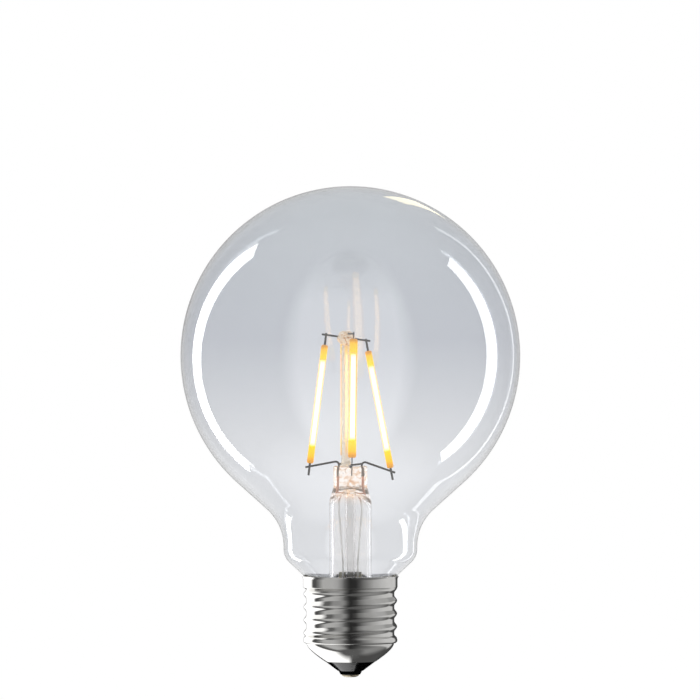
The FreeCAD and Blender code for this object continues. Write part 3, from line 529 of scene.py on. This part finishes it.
def phosphor_coat():
    """Yellow phosphor in clear silicone gel: a glossy amber skin, gold to orange past the lit stretch.

    The eye sees through it to the lit row with an orange rim, and at the ends a thick yellow body.
    """
    material, tree, place = finish("phosphor_silicone_coat", {
        "Roughness": 0.2, "IOR": 1.41, "Specular IOR Level": 0.25, "Emission Strength": 0.75})
    split = add(tree, "ShaderNodeSeparateXYZ", {"Vector": place.outputs["UV"]})
    grain = add(tree, "ShaderNodeTexNoise", {
        "Vector": place.outputs["Object"], "Scale": repeats(1.1), "Detail": 3.0})
    along = add(tree, "ShaderNodeMath", {0: grain.outputs["Fac"], 1: 0.03, 2: split.outputs["Y"]},
                operation="MULTIPLY_ADD")
    places = (0.02, 0.045, 0.07, 0.15, 0.17, 0.88, 0.9, 0.975, 0.99, 1.0)
    ends = [paint(code) for code in ("#d08c08", "#e4a406", "#f0be04", "#f2d20c")]
    glow, body = [
        add(tree, "ShaderNodeValToRGB", {"Fac": along.outputs["Value"]},
            stops=list(zip(places, ends + [paint(lit)] * 2 + ends[::-1])))
        for lit in ("#a85c1a", "#ffd890")]
    clear = add(tree, "ShaderNodeValToRGB", {"Fac": split.outputs["Y"]}, stops=[
        (0.14, grey(0.1)), (0.15, grey(0.92)), (0.865, grey(0.92)), (0.875, grey(0.1))])
    return joined(material, {
        "Base Color": body.outputs["Color"], "Emission Color": glow.outputs["Color"],
        "Transmission Weight": clear.outputs["Color"]})


def lit_chip_row():
    """The lit row of chips on its strip, so bright that its middle burns out to white, with warm ends."""
    material, tree, place = finish("lit_chip_row", {
        "Base Color": paint("#fff3cf"), "Roughness": 0.5, "Emission Strength": 2.6})
    split = add(tree, "ShaderNodeSeparateXYZ", {"Vector": place.outputs["UV"]})
    light = add(tree, "ShaderNodeValToRGB", {"Fac": split.outputs["Y"]}, stops=[
        (0.0, paint("#ffd83a")), (1.0, paint("#ffd83a")), (0.04, paint("#fffaee")),
        (0.96, paint("#fffaee"))])
    return joined(material, {"Emission Color": light.outputs["Color"]})


def nickel_wire():
    """Drawn nickel wire, a little oxidised by the flame: dark warm grey with duller patches."""
    return mottled("drawn_nickel_wire", {"Metallic": 1.0}, size=2.0, detail=4.0,
                   tones=("#1c1a17", "#4a453e"), spread=0.2, dull=(0.28, 0.5))


def lead_in_wire():
    """Lead-in wire: copper-clad and red where it is sealed into the glass, bright tinned wire below."""
    material, tree, place = finish("tinned_copper_clad_wire", {"Metallic": 1.0, "Roughness": 0.3})
    patches = add(tree, "ShaderNodeTexNoise", {
        "Vector": place.outputs["Object"], "Scale": repeats(2.5), "Detail": 4.0})
    red = add(tree, "ShaderNodeValToRGB", {"Fac": patches.outputs["Fac"]}, stops=[
        (0.3, paint("#9a5a42")), (0.7, paint("#d69a7e"))])
    tin = add(tree, "ShaderNodeValToRGB", {"Fac": patches.outputs["Fac"]}, stops=[
        (0.3, paint("#e4e2dc")), (0.7, paint("#fbfbf8"))])
    split = add(tree, "ShaderNodeSeparateXYZ", {"Vector": place.outputs["Object"]})
    seal = add(tree, "ShaderNodeMapRange", {
        "Value": split.outputs["Z"], "From Min": SEAL_START * MM,
        "From Max": (SEAL_START + SEAL_FADE) * MM})
    tone = add(tree, "ShaderNodeMix", {
        "Factor": seal.outputs["Result"], "A": tin.outputs["Color"], "B": red.outputs["Color"]},
        data_type="RGBA")
    return joined(material, {"Base Color": tone.outputs["Result"]})


def bright_nickel_plate():
    """Rolled sheet under bright nickel: a clear mirror with faint lines round it and a few dull marks."""
    material, tree, place = finish("bright_nickel_plate", {"Metallic": 1.0})
    stretched = add(tree, "ShaderNodeMapping", {
        "Vector": place.outputs["Object"], "Scale": (repeats(25), repeats(25), repeats(0.35))})
    lines = add(tree, "ShaderNodeTexNoise", {
        "Vector": stretched.outputs["Vector"], "Scale": 1.0, "Detail": 3.0})
    marks = add(tree, "ShaderNodeTexNoise", {
        "Vector": place.outputs["Object"], "Scale": repeats(4.0), "Detail": 5.0})
    tone = add(tree, "ShaderNodeValToRGB", {"Fac": marks.outputs["Fac"]}, stops=[
        (0.35, paint("#d6d5d2")), (0.65, paint("#dedddb"))])
    dull = add(tree, "ShaderNodeMapRange", {
        "Value": marks.outputs["Fac"], "From Min": 0.3, "From Max": 0.7, "To Min": 0.05, "To Max": 0.12})
    bump = add(tree, "ShaderNodeBump", {
        "Height": lines.outputs["Fac"], "Strength": 0.5, "Distance": 0.01 * MM})
    return joined(material, {"Base Color": tone.outputs["Color"], "Roughness": dull.outputs["Result"],
                             "Normal": bump.outputs["Normal"]})


def black_pressed_glass():
    """Black glass pressed into the cap while hot: deep black and glossy, with a slight swell."""
    return mottled("black_pressed_glass", {"IOR": 1.55}, size=2.5, detail=3.0,
                   tones=("#020202", "#060607"), spread=0.2, dull=(0.06, 0.2), depth=0.05)


def stamped_brass():
    """Stamped brass contact: a dull yellow grey with fine scuffs from the press."""
    return mottled("stamped_brass", {"Metallic": 1.0}, size=0.6, detail=6.0,
                   tones=("#a89d84", "#dcd1b8"), spread=0.2, dull=(0.25, 0.5), strength=0.4, depth=0.03)


def grainy(name, dark, light, size, rough, depth=0.05):
    """A plain material of one roughness with a grain of two close colours."""
    return mottled(name, {"Roughness": rough}, size=size, detail=5.0, tones=(dark, light), spread=0.15,
                   depth=depth)


# Pieces

def envelope_outline(inset):
    """The blown envelope's outline from its crown to the seal: sphere, straight flank, neck, foot and seal.

    The flank leaves the sphere at the flank angle and meets the neck in a fillet. The foot is a cone that
    passes the cap's lip, rounded into the neck above and into the seal below. An inset gives the inner wall.
    """
    low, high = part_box("glass_globe")
    crown, end = high.z / MM, low.z / MM
    globe = high.x / MM
    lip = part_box("screw_shell")[1].z / MM
    flank, cone = math.radians(FLANK_ANGLE), math.radians(FOOT_ANGLE)
    neck, seal = NECK_RADIUS - inset, SEAL_RADIUS - inset
    sphere = arc((0, crown - globe), globe - inset, 90, -FLANK_ANGLE, SPHERE_ROWS)
    sphere[0, 0] = 0
    start = sphere[-1]
    z_neck = start[1] - (start[0] - neck) / math.tan(flank)
    passing = (FOOT_AT_LIP - inset * math.cos(cone), lip + inset * math.sin(cone))
    z_foot = passing[1] + (neck - passing[0]) / math.tan(cone)
    z_seal = passing[1] - (passing[0] - seal) / math.tan(cone)
    foot = filleted([(*start, 0), (neck, z_neck, NECK_FILLET + inset), (neck, z_foot, FOOT_FILLET - inset),
                     (seal, z_seal, SEAL_FILLET + inset), (seal, end, 0)], NECK_ROWS)
    return np.vstack([sphere[:-1], spaced(foot, FOOT_STEP)])


def make_globe(glass):
    """The envelope: its outer outline down to the seal and its inner outline back up, turned round."""
    outline = np.vstack([envelope_outline(0), envelope_outline(GLASS_WALL)[::-1]])
    return surface("blown_globe", turned(outline, GLOBE_COLUMNS), glass, "clear_glass", "glass_globe")


def make_stem(glass):
    """The stem: a flared tube that is squeezed into a flat press, with its bore closed by a dome.

    Each row is a rounded oblong, half width times the cosine to a power and half depth times the sine to
    the same power. Going up, an eased step takes it from the round tube to the press, and the top of the
    press is lifted towards its two sides. The bore is round, and its dome leans a little to one side.
    """
    low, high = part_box("stem_tube")
    base, top = low.z / MM, high.z / MM
    rim = SEAL_RADIUS - GLASS_WALL
    wall = STEM_RADIUS - STEM_BORE
    z_flare = base + wall + FLARE_RADIUS
    outside = spaced(filleted([(0, top, 0), (1, top, PRESS_EDGE), (1, top - PRESS_HEIGHT, 0),
                               (1, z_flare, 0)], TIP_ROWS), PRESS_STEP)
    share, height = outside[:, :1], outside[:, 1:]
    step = eased(np.clip((height - SQUEEZE_START) / SQUEEZE_LENGTH, 0, 1))
    width = STEM_RADIUS + (PRESS_HALF_WIDTH - STEM_RADIUS) * step
    depth = STEM_RADIUS + (PRESS_HALF_DEPTH - STEM_RADIUS) * step
    across, through = rounded_oblong(bearings(STEM_COLUMNS), 2 / (2 + (PRESS_SQUARENESS - 2) * step))
    drawn = np.clip((height - top + PRESS_DRAW_HEIGHT) / PRESS_DRAW_HEIGHT, 0, 1)
    edge = np.where(share < 1, share, 1 - PRESS_DRAW * drawn ** 2)
    x, y = edge * width * across, edge * depth * through
    near_top = np.clip((height - top + PRESS_LIFT_HEIGHT) / PRESS_LIFT_HEIGHT, 0, 1)
    lift = PRESS_LIFT * (near_top * (x / PRESS_HALF_WIDTH) ** 2 - PRESS_SINK)
    upper = np.stack([x, y, height + lift], -1)

    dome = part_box("exhaust_tube")[1].z / MM + GLASS_GAP
    z_dome = dome - CAVITY_DOME
    flare = arc((rim, z_flare), FLARE_RADIUS, 180, 270, FLARE_ROWS)
    bore_flare = arc((rim, z_flare), FLARE_RADIUS + wall, 270, 180, FLARE_ROWS)
    bore = spaced(np.array([(STEM_BORE, z_flare), (STEM_BORE, z_dome)]), TUBE_STEP)
    lower = turned(np.vstack([flare[1:], [(rim, base)], bore_flare[:-1], bore,
                              dome_outline(STEM_BORE, z_dome, CAVITY_DOME)]), STEM_COLUMNS)
    lean = np.clip((lower[..., 2] - z_dome + CAVITY_DOME) / CAVITY_DOME, 0, 1)
    inner = np.arange(len(lower)) > len(flare)
    lower[..., 2] -= CAVITY_TILT * lower[..., 0] * lean * inner[:, None]
    return surface("flared_stem", np.vstack([upper, lower]), glass, "clear_glass", "stem_tube")


def make_exhaust(glass):
    """The exhaust tube: a thin tube on the axis with a drawn round tip, its bore closed below."""
    low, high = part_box("exhaust_tube")
    radius = high.x / MM
    top = high.z / MM - GLASS_GAP
    centre = (0, low.z / MM + radius)
    outer = np.vstack([arc(centre, radius, -90, 0, TIP_ROWS), [(radius, top)]])
    inner = np.vstack([[(EXHAUST_BORE, top)], arc(centre, EXHAUST_BORE, 0, -90, TIP_ROWS)])
    outer[0, 0] = inner[-1, 0] = 0
    grid = turned(np.vstack([spaced(outer, TUBE_STEP), spaced(inner, TUBE_STEP)]), EXHAUST_COLUMNS)
    return surface("exhaust_glass", grid, glass, "clear_glass", "exhaust_tube")


def make_post(glass):
    """The post: a rod with a spread foot and a melted bead, whose radius swells in folds that wind round it.

    Near the bead the radius loses a small share and the sum of two sine waves of the bearing and the height.
    """
    low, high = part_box("filament_post")
    foot, top = low.z / MM, high.z / MM
    bead = top - BEAD_HALF_HEIGHT
    middle = BEAD_RADIUS - BEAD_HALF_HEIGHT
    lean = math.degrees(math.acos((POST_RADIUS - middle) / BEAD_HALF_HEIGHT))
    ball = arc((middle, bead), BEAD_HALF_HEIGHT, 90, -lean, BEAD_ROWS)
    rod = filleted([(*ball[-1], 0), (POST_RADIUS, foot + POST_FOOT_HEIGHT, POST_FOOT_FILLET),
                    (POST_FOOT_RADIUS, foot, 0)], EDGE_ROWS)
    outline = spaced(np.vstack([[(0, top), (middle / 2, top)], ball, rod[1:], [(0, foot)]]), POST_STEP)
    outline[0, 0] = outline[-1, 0] = 0
    grid = turned(outline, POST_COLUMNS)
    angle = bearings(POST_COLUMNS)
    level = (outline[:, 1:] - bead) / BEAD_HALF_HEIGHT
    near = np.clip(FOLD_REACH - np.abs(level), 0, 1) ** 0.5
    waves = sum(depth * np.sin(number * angle + winding * level) for depth, number, winding in FOLDS)
    grid[..., :2] *= (1 - near * (FOLD_DRAW + waves))[..., None]
    grid[..., 0] += (low.x + high.x) / 2 / MM
    return surface("bead_post", grid, glass, "clear_glass", "filament_post")


def strip_frame(node):
    """The middle of a light strip, its directions along, across and through, and its half sizes.

    The directions are the principal ones of its points, and the half sizes are their reach along each.
    """
    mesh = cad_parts[node].data
    points = np.empty(3 * len(mesh.vertices), np.float32)
    mesh.vertices.foreach_get("co", points)
    points = points.reshape(-1, 3).astype(float) / MM
    middle = (points.min(0) + points.max(0)) / 2
    _, _, ways = np.linalg.svd(points - points.mean(0), full_matrices=False)
    ways[0] *= np.sign(ways[0, 2])
    reach = (points - middle) @ ways.T
    middle = middle + ((reach.max(0) + reach.min(0)) / 2) @ ways
    return middle, ways, np.ptp(reach, axis=0) / 2


def strip_grid(middle, ways, half, shrink, start, end, rounding):
    """A light strip: rounded oblong rows along its length, drawn in at both ends by a quarter round.

    Shrink narrows the rows, and start and end are the shares of the length that the strip covers. Beside
    the grid comes each row's share of the way along it.
    """
    length = 2 * half[0] * (end - start)
    corner = np.linspace(0, np.pi / 2, STRIP_EDGE_ROWS)
    inset = rounding * (1 - np.sin(corner))
    reach = rounding * (1 - np.cos(corner))
    between = np.linspace(0, 1, STRIP_ROWS)[1:-1] * (length - 2 * rounding) + rounding
    place = np.concatenate([[0], reach, between, length - reach[::-1], [length]])
    drawn = np.concatenate([[np.inf], inset, np.zeros(len(between)), inset[::-1], [np.inf]])
    wide = np.clip(half[1] - shrink - drawn, 0, None)[:, None]
    thin = np.clip(half[2] - shrink - drawn, 0, None)[:, None]
    across, through = rounded_oblong(bearings(STRIP_COLUMNS), STRIP_POWER)
    forward = (start - 0.5) * 2 * half[0] + place[:, None] + 0 * across
    return middle + np.stack([forward, wide * across, thin * through], -1) @ ways, place / length


def make_strips(coat, core):
    """Four light strips, each a lit core inside a coat that is longer and thicker."""
    for side in ("left", "right", "front", "back"):
        node = "led_filament_" + side
        middle, ways, half = strip_frame(node)
        grid, levels = strip_grid(middle, ways, half, 0, 0, 1, COAT_EDGE)
        surface("strip_coat_" + side, grid, coat, "lit_phosphor", node, levels=levels)
        grid, levels = strip_grid(middle, ways, half, CORE_SHRINK, CORE_START, CORE_END, CORE_EDGE)
        surface("strip_core_" + side, grid, core, "lit_phosphor", levels=levels)


def make_shell(plate):
    """The screw shell: cone, shoulder bead, rolled thread, collar and lip outside, and a plain inside.

    The cone is a quadratic curve: it leaves the mouth at the cone's angle and ends upright in a waist below
    the shoulder bead. Above that a point's radius is the root plus the largest of three swellings, taken as
    a high-power mean: the bead, the helical ridge and the collar. The bead is half an ellipse. The ridge is
    a squared cosine of the distance from its crest, which climbs one pitch a turn to the right.
    """
    low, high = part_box("screw_shell")
    mouth, rim = low.z / MM, high.z / MM
    angle = bearings(SHELL_COLUMNS)
    crest_radius, crest = SHOULDER_CREST
    foot = crest - SHOULDER_DROP
    z_bend = mouth + (SHOULDER_WAIST - MOUTH_RADIUS) * math.tan(math.radians(CONE_ANGLE))
    start, bend, end = np.array([(MOUTH_RADIUS, mouth), (SHOULDER_WAIST, z_bend), (SHOULDER_WAIST, foot)])
    share = np.linspace(0, 1, CONE_ROWS)[:, None]
    cone = (1 - share) ** 2 * start + 2 * share * (1 - share) * bend + share ** 2 * end

    heights = np.arange(foot, LIP_BASE, THREAD_STEP)[1:, None]
    above = heights - crest
    turns = above / THREAD_PITCH - (angle - math.radians(THREAD_START)) / (2 * np.pi)
    apart = (turns - np.round(turns)) * THREAD_PITCH
    ridge = THREAD_HEIGHT * np.cos(np.pi * np.clip(apart / THREAD_WIDTH, -0.5, 0.5)) ** 2
    ridge = ridge * np.clip(above / THREAD_RUN_IN, 0, 1)
    root = np.where(above < 0, SHOULDER_WAIST, THREAD_ROOT)
    away = above / np.where(above < 0, SHOULDER_DROP, SHOULDER_RISE)
    bead = (crest_radius - root) * np.sqrt(np.clip(1 - away ** 2, 0, 1))
    rise = np.clip((heights - THREAD_TOP) / (COLLAR_BASE - THREAD_TOP), 0, 1)
    collar = (COLLAR_RADIUS - THREAD_ROOT) * eased(rise)
    swell = (ridge ** SWELL_POWER + bead ** SWELL_POWER + collar ** SWELL_POWER) ** (1 / SWELL_POWER)
    radius = np.minimum(root + swell, COLLAR_RADIUS)
    body = np.stack([radius * np.cos(angle), radius * np.sin(angle), heights + 0 * angle], -1)

    collar_bore, root_bore = COLLAR_RADIUS - SHELL_WALL, THREAD_ROOT - SHELL_WALL
    lip = filleted([(COLLAR_RADIUS, LIP_BASE, 0), (LIP_RADIUS, rim, FINE_ROUNDING),
                    (LIP_RADIUS - SHELL_WALL, rim, FINE_ROUNDING), (collar_bore, LIP_BASE, 0)],
                   FINE_EDGE_ROWS)
    inside = spaced(np.array([(collar_bore, LIP_BASE), (collar_bore, COLLAR_BASE), (root_bore, THREAD_TOP),
                              (root_bore, THREAD_BASE), (SHOULDER_WAIST - SHELL_WALL, foot),
                              (MOUTH_RADIUS, mouth + SHELL_WALL)]), SHELL_STEP)[1:]
    grid = np.vstack([turned(cone, SHELL_COLUMNS), body, turned(np.vstack([lip, inside]), SHELL_COLUMNS)])
    return surface("rolled_screw_shell", grid, plate, "nickel_plate", "screw_shell")


def make_insulator(black):
    """The insulator: a boss and a cone with softened edges below, a plain seat and dish above."""
    low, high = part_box("insulator")
    seat_radius, seat, tip = high.x / MM, high.z / MM, low.z / MM
    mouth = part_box("screw_shell")[0].z / MM
    edge = MOUTH_RADIUS - MOUTH_GAP
    floor = BOSS_TOP + DISH_RISE
    outline = filleted([(SHANK_RADIUS, tip, 0), (BOSS_TIP_RADIUS, tip, EDGE_ROUNDING),
                        (BOSS_RADIUS, BOSS_TOP, FINE_ROUNDING), (CONE_START_RADIUS, BOSS_TOP, FINE_ROUNDING),
                        (edge, mouth, EDGE_ROUNDING), (edge, mouth + SHELL_WALL, 0), (seat_radius, seat, 0),
                        (DISH_RADIUS, seat, 0), (DISH_RADIUS, floor, 0), (SHANK_RADIUS, floor, 0)],
                       EDGE_ROWS)
    grid = turned(spaced(outline, INSULATOR_STEP), INSULATOR_COLUMNS)
    return surface("black_insulator_cone", grid, black, "black_insulator", "insulator")


def make_contact(brass):
    """The end contact: a shallow dome with a dimple, a rounded edge and a shank up through the insulator.

    The dome's height is the fourth power of the share of the radius, and the dimple is a squared parabola.
    """
    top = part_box("centre_contact")[1].z / MM
    share = np.linspace(0, 1, CONTACT_ROWS)
    dimple = CONTACT_DIMPLE * np.clip(1 - (share / DIMPLE_SHARE) ** 2, 0, 1) ** 2
    dome = np.column_stack([CONTACT_RADIUS * share, CONTACT_BULGE * share ** 4 + dimple])
    rest = filleted([(CONTACT_RADIUS, CONTACT_BULGE, 0), (CONTACT_RADIUS, CONTACT_HEIGHT, FINE_ROUNDING),
                     (SHANK_RADIUS, CONTACT_HEIGHT, 0), (SHANK_RADIUS, top, 0), (0, top, 0)], FINE_EDGE_ROWS)
    grid = turned(np.vstack([dome, rest[1:]]), CONTACT_COLUMNS)
    return surface("end_contact", grid, brass, "contact_brass", "centre_contact")


def dress_nodes():
    """Gives every solid that stays as it is the finish of its own material."""
    nickel, lead_in = nickel_wire(), lead_in_wire()
    finishes = {
        "upper_wire": nickel, "lead_wire": nickel, "branch_wire": nickel, "upper_tab": nickel,
        "lower_tab": nickel, "lead_in": lead_in,
        # Lime cement: chalky and pale, with a sandy grain
        "capping_cement": grainy("lime_cement", "#c9c2b2", "#e2ddd0", size=0.8, rough=0.9, depth=0.1),
        # Glass-fibre board: olive resin with a fine weave that shows as a mottle
        "driver_board": grainy("fibre_board_olive", "#d8d19a", "#ece7ba", size=0.7, rough=0.5),
        # Sleeved can: dark shrink film with a soft gloss
        "smoothing_capacitor": grainy("shrink_sleeve", "#23262c", "#31353d", size=2.0, rough=0.35),
        # Lacquered ceramic: pale blue with brushed unevenness
        "fuse_resistor": grainy("lacquered_ceramic", "#7d97a6", "#93adba", size=1.0, rough=0.4),
        # Moulded epoxy: matt black with a fine spark-eroded grain
        "bridge_rectifier": grainy("moulded_epoxy", "#17181a", "#242628", size=0.3, rough=0.6),
        "driver_chip": grainy("moulded_epoxy_chip", "#17181a", "#242628", size=0.3, rough=0.6),
        # Silicone sleeve: white and slightly waxy
        "contact_wire": grainy("silicone_sleeve", "#d8d8d4", "#ececea", size=1.5, rough=0.5),
        "shell_wire": grainy("silicone_sleeve_shell", "#d8d8d4", "#ececea", size=1.5, rough=0.5),
    }
    for name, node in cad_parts.items():
        for start, material in finishes.items():
            if name.startswith(start):
                node.data.materials.clear()
                node.data.materials.append(material)


# Studio

def light_panel(name, place, width, height, radiance, colour="#ffffff", hidden="diffuse", lean=0.0):
    """A panel turned to the lamp, of even radiance: its watts are the radiance times pi times its area."""
    lamp = bpy.data.lights.new(name, "AREA")
    lamp.shape = "RECTANGLE"
    lamp.size = width
    lamp.size_y = height
    lamp.color = paint(colour)[:3]
    lamp.energy = radiance * math.pi * width * height
    panel = bpy.data.objects.new(name, lamp)
    bpy.context.scene.collection.objects.link(panel)
    direction = np.array(LAMP_MIDDLE) - np.array(place)
    panel.location = place
    panel.rotation_euler = (math.atan2(math.hypot(direction[0], direction[1]), -direction[2]),
                            math.radians(lean), math.atan2(-direction[0], direction[1]))
    panel.visible_camera = False
    setattr(panel, "visible_" + hidden, False)
    return panel


def stage_mesh(name, points, faces):
    """A mesh of the studio with an empty material, and that material's tree."""
    mesh = bpy.data.meshes.new(name)
    mesh.from_pydata(points, [], faces)
    material = bpy.data.materials.new(name)
    material.use_nodes = True
    material.node_tree.nodes.clear()
    mesh.materials.append(material)
    piece = bpy.data.objects.new(name, mesh)
    bpy.context.scene.collection.objects.link(piece)
    return piece, material.node_tree


def stage_grid(name, grid):
    """A mesh of the studio from a grid whose columns meet round the back, and its material's tree."""
    index = np.arange(grid.shape[0] * grid.shape[1]).reshape(grid.shape[:2])
    return stage_mesh(name, grid.reshape(-1, 3).tolist(), faces_round(index).tolist())


def seen_rays(tree):
    """One for rays from the camera, from mirrors and through glass, so that all three meet plain white."""
    path = add(tree, "ShaderNodeLightPath")
    either = add(tree, "ShaderNodeMath", {
        0: path.outputs["Is Camera Ray"], 1: path.outputs["Is Glossy Ray"]}, operation="MAXIMUM")
    return add(tree, "ShaderNodeMath", {
        0: either.outputs["Value"], 1: path.outputs["Is Transmission Ray"]},
        operation="MAXIMUM").outputs["Value"]


def make_background():
    """A white world and a white paper floor, whose glow fills what the sky's light leaves short of white."""
    scene = bpy.context.scene
    scene.world = bpy.data.worlds.new("white_studio")
    scene.world.use_nodes = True
    tree = scene.world.node_tree
    strength = add(tree, "ShaderNodeMapRange", {
        "Value": seen_rays(tree), "To Min": SKY_LIGHT, "To Max": 1.0})
    tree.links.new(strength.outputs["Result"], tree.nodes["Background"].inputs["Strength"])
    tree.nodes["Background"].inputs["Color"].default_value = paint("#ffffff")

    corners = [(x * FLOOR_SIDE, y * FLOOR_SIDE, FLOOR_HEIGHT)
               for x, y in ((-1, -1), (1, -1), (1, 1), (-1, 1))]
    floor, tree = stage_mesh("paper_floor", corners, [(0, 1, 2, 3)])
    paper = add(tree, "ShaderNodeBsdfDiffuse", {"Color": paint(PAPER)})
    share = add(tree, "ShaderNodeMapRange", {
        "Value": seen_rays(tree), "To Max": 1 - SKY_LIGHT * paint(PAPER)[0]})
    glow = add(tree, "ShaderNodeEmission", {"Strength": share.outputs["Result"]})
    both = add(tree, "ShaderNodeAddShader", {0: paper.outputs["BSDF"], 1: glow.outputs["Emission"]})
    add(tree, "ShaderNodeOutputMaterial", {"Surface": both.outputs["Shader"]})
    floor.visible_glossy = False
    floor.visible_transmission = False


def shades_round(tree, shades):
    """The place on a tent, split into its three lengths, and the tent's grey by the bearing of the place."""
    place = add(tree, "ShaderNodeTexCoord")
    split = add(tree, "ShaderNodeSeparateXYZ", {"Vector": place.outputs["Object"]})
    bearing = add(tree, "ShaderNodeMath", {0: split.outputs["X"], 1: split.outputs["Y"]},
                  operation="ARCTAN2")
    turn = add(tree, "ShaderNodeMapRange", {
        "Value": bearing.outputs["Value"], "From Min": -math.pi, "From Max": math.pi})
    walls = add(tree, "ShaderNodeValToRGB", {"Fac": turn.outputs["Result"]}, stops=[
        (left / 360, grey(level / TENT_WHITE)) for left, level in shades])
    return split, walls.outputs["Color"]


def only_mirrored(piece, receivers):
    """Shows a glowing piece of the studio to mirrored rays alone, and its glow to the receivers alone."""
    piece.data.materials[0].cycles.emission_sampling = "NONE"
    piece.light_linking.receiver_collection = receivers
    for ray in ("camera", "diffuse", "transmission", "shadow", "volume_scatter"):
        setattr(piece, "visible_" + ray, False)


def make_tent(name, shades, receivers, through):
    """A large ball round the lamp that only mirrors see, and of those only the receivers.

    Its brightness follows the bearing round the lamp, and changes over to that of its bands towards its
    poles. One that is seen through adds its light to what is behind it, which hides it from other pieces.
    """
    radius = shades["radius"]
    elevation = np.linspace(-np.pi / 2, np.pi / 2, TENT_ROWS)
    ball = radius * np.column_stack([np.cos(elevation), np.sin(elevation)])
    tent, tree = stage_grid(name, turned(ball, TENT_COLUMNS))
    split, shade = shades_round(tree, shades["round"])
    for start, end, stops in shades["bands"]:
        share = add(tree, "ShaderNodeMapRange", {
            "Value": split.outputs["Z"], "From Min": start * radius, "From Max": end * radius})
        band = shades_round(tree, stops)[1]
        shade = add(tree, "ShaderNodeMix", {"Factor": share.outputs["Result"], "A": shade, "B": band},
                    data_type="RGBA").outputs["Result"]
    glow = add(tree, "ShaderNodeEmission", {"Color": shade, "Strength": TENT_WHITE})
    behind = add(tree, "ShaderNodeBsdfTransparent", {"Color": grey(1.0 if through else 0.0)})
    both = add(tree, "ShaderNodeAddShader", {0: behind.outputs["BSDF"], 1: glow.outputs["Emission"]})
    add(tree, "ShaderNodeOutputMaterial", {"Surface": both.outputs["Shader"]})
    only_mirrored(tent, receivers)


def make_flag(receivers):
    """A flat ring over the cap that only mirrors see, and from below: two circles round the axis.

    Its brightness follows the bearing, and from above it is clear.
    """
    circles = np.array([(CAP_FLAG[side], CAP_FLAG["height"]) for side in ("inner", "outer")])
    flag, tree = stage_grid("cap_flag", turned(circles, TENT_COLUMNS))
    walls = shades_round(tree, CAP_FLAG["round"])[1]
    glow = add(tree, "ShaderNodeEmission", {"Color": walls, "Strength": TENT_WHITE})
    clear = add(tree, "ShaderNodeBsdfTransparent")
    side = add(tree, "ShaderNodeNewGeometry")
    both = add(tree, "ShaderNodeMixShader", {
        "Fac": side.outputs["Backfacing"], 1: glow.outputs["Emission"], 2: clear.outputs["BSDF"]})
    add(tree, "ShaderNodeOutputMaterial", {"Surface": both.outputs["Shader"]})
    only_mirrored(flag, receivers)


def mirrors(name, state, *pieces):
    """A collection that lets only those pieces mirror a light, or all but those."""
    chosen = bpy.data.collections.new(name)
    for n, piece in enumerate(pieces):
        chosen.objects.link(piece)
        chosen.collection_objects[n].light_linking.link_state = state
    return chosen


def make_lights(shell, insulator, contact):
    """What the pieces mirror and what lights them.

    The shell and the contact mirror their own tent, and the insulator a card below it. The rest mirror the
    other tent, two tall strips behind the sides and a small warm panel behind the top. Two fainter strips
    show in the far walls of the glass, and a softbox in front on the left lights what isn't glass or mirror.
    """
    glass = mirrors("mirrored_by_glass", "EXCLUDE", shell, insulator, contact)
    metal = mirrors("mirrored_by_metal", "INCLUDE", shell, contact)
    make_tent("cap_tent", CAP_TENT, metal, True)
    make_flag(metal)
    make_tent("glass_tent", GLASS_TENT, glass, False)
    for name, facts in SIDE_PANELS.items():
        panel = light_panel(name, **facts)
        panel.light_linking.receiver_collection = glass
        panel.visible_transmission = False
    for name, facts in INNER_PANELS.items():
        panel = light_panel(name, **facts)
        panel.light_linking.receiver_collection = glass
        panel.visible_glossy = False
    card = light_panel("insulator_card", **INSULATOR_CARD)
    card.light_linking.receiver_collection = mirrors("mirrored_by_insulator", "INCLUDE", insulator)
    softbox = light_panel("softbox_left", **SOFTBOX)
    softbox.visible_transmission = False


def make_camera():
    """A level camera in front of the lamp, at the height that the frame is centred on."""
    data = bpy.data.cameras.new("camera")
    data.sensor_width = SENSOR
    data.lens = SENSOR * PIXELS_PER_METRE * CAMERA_DISTANCE / FRAME_PIXELS
    camera = bpy.data.objects.new("camera", data)
    camera.location = (CAMERA_SIDE, -CAMERA_DISTANCE, CAMERA_HEIGHT)
    camera.rotation_euler = (math.pi / 2, 0, 0)
    bpy.context.scene.collection.objects.link(camera)
    bpy.context.scene.camera = camera


bpy.context.scene.view_settings.view_transform = "Standard"
make_globe(blown_clear_glass())
stem_glass = drawn_stem_glass()
make_stem(stem_glass)
make_exhaust(stem_glass)
make_post(melted_bead_glass())
make_strips(phosphor_coat(), lit_chip_row())
shell = make_shell(bright_nickel_plate())
insulator = make_insulator(black_pressed_glass())
contact = make_contact(stamped_brass())
dress_nodes()
make_background()
make_lights(shell, insulator, contact)
make_camera()

bpy.context.view_layer.update()
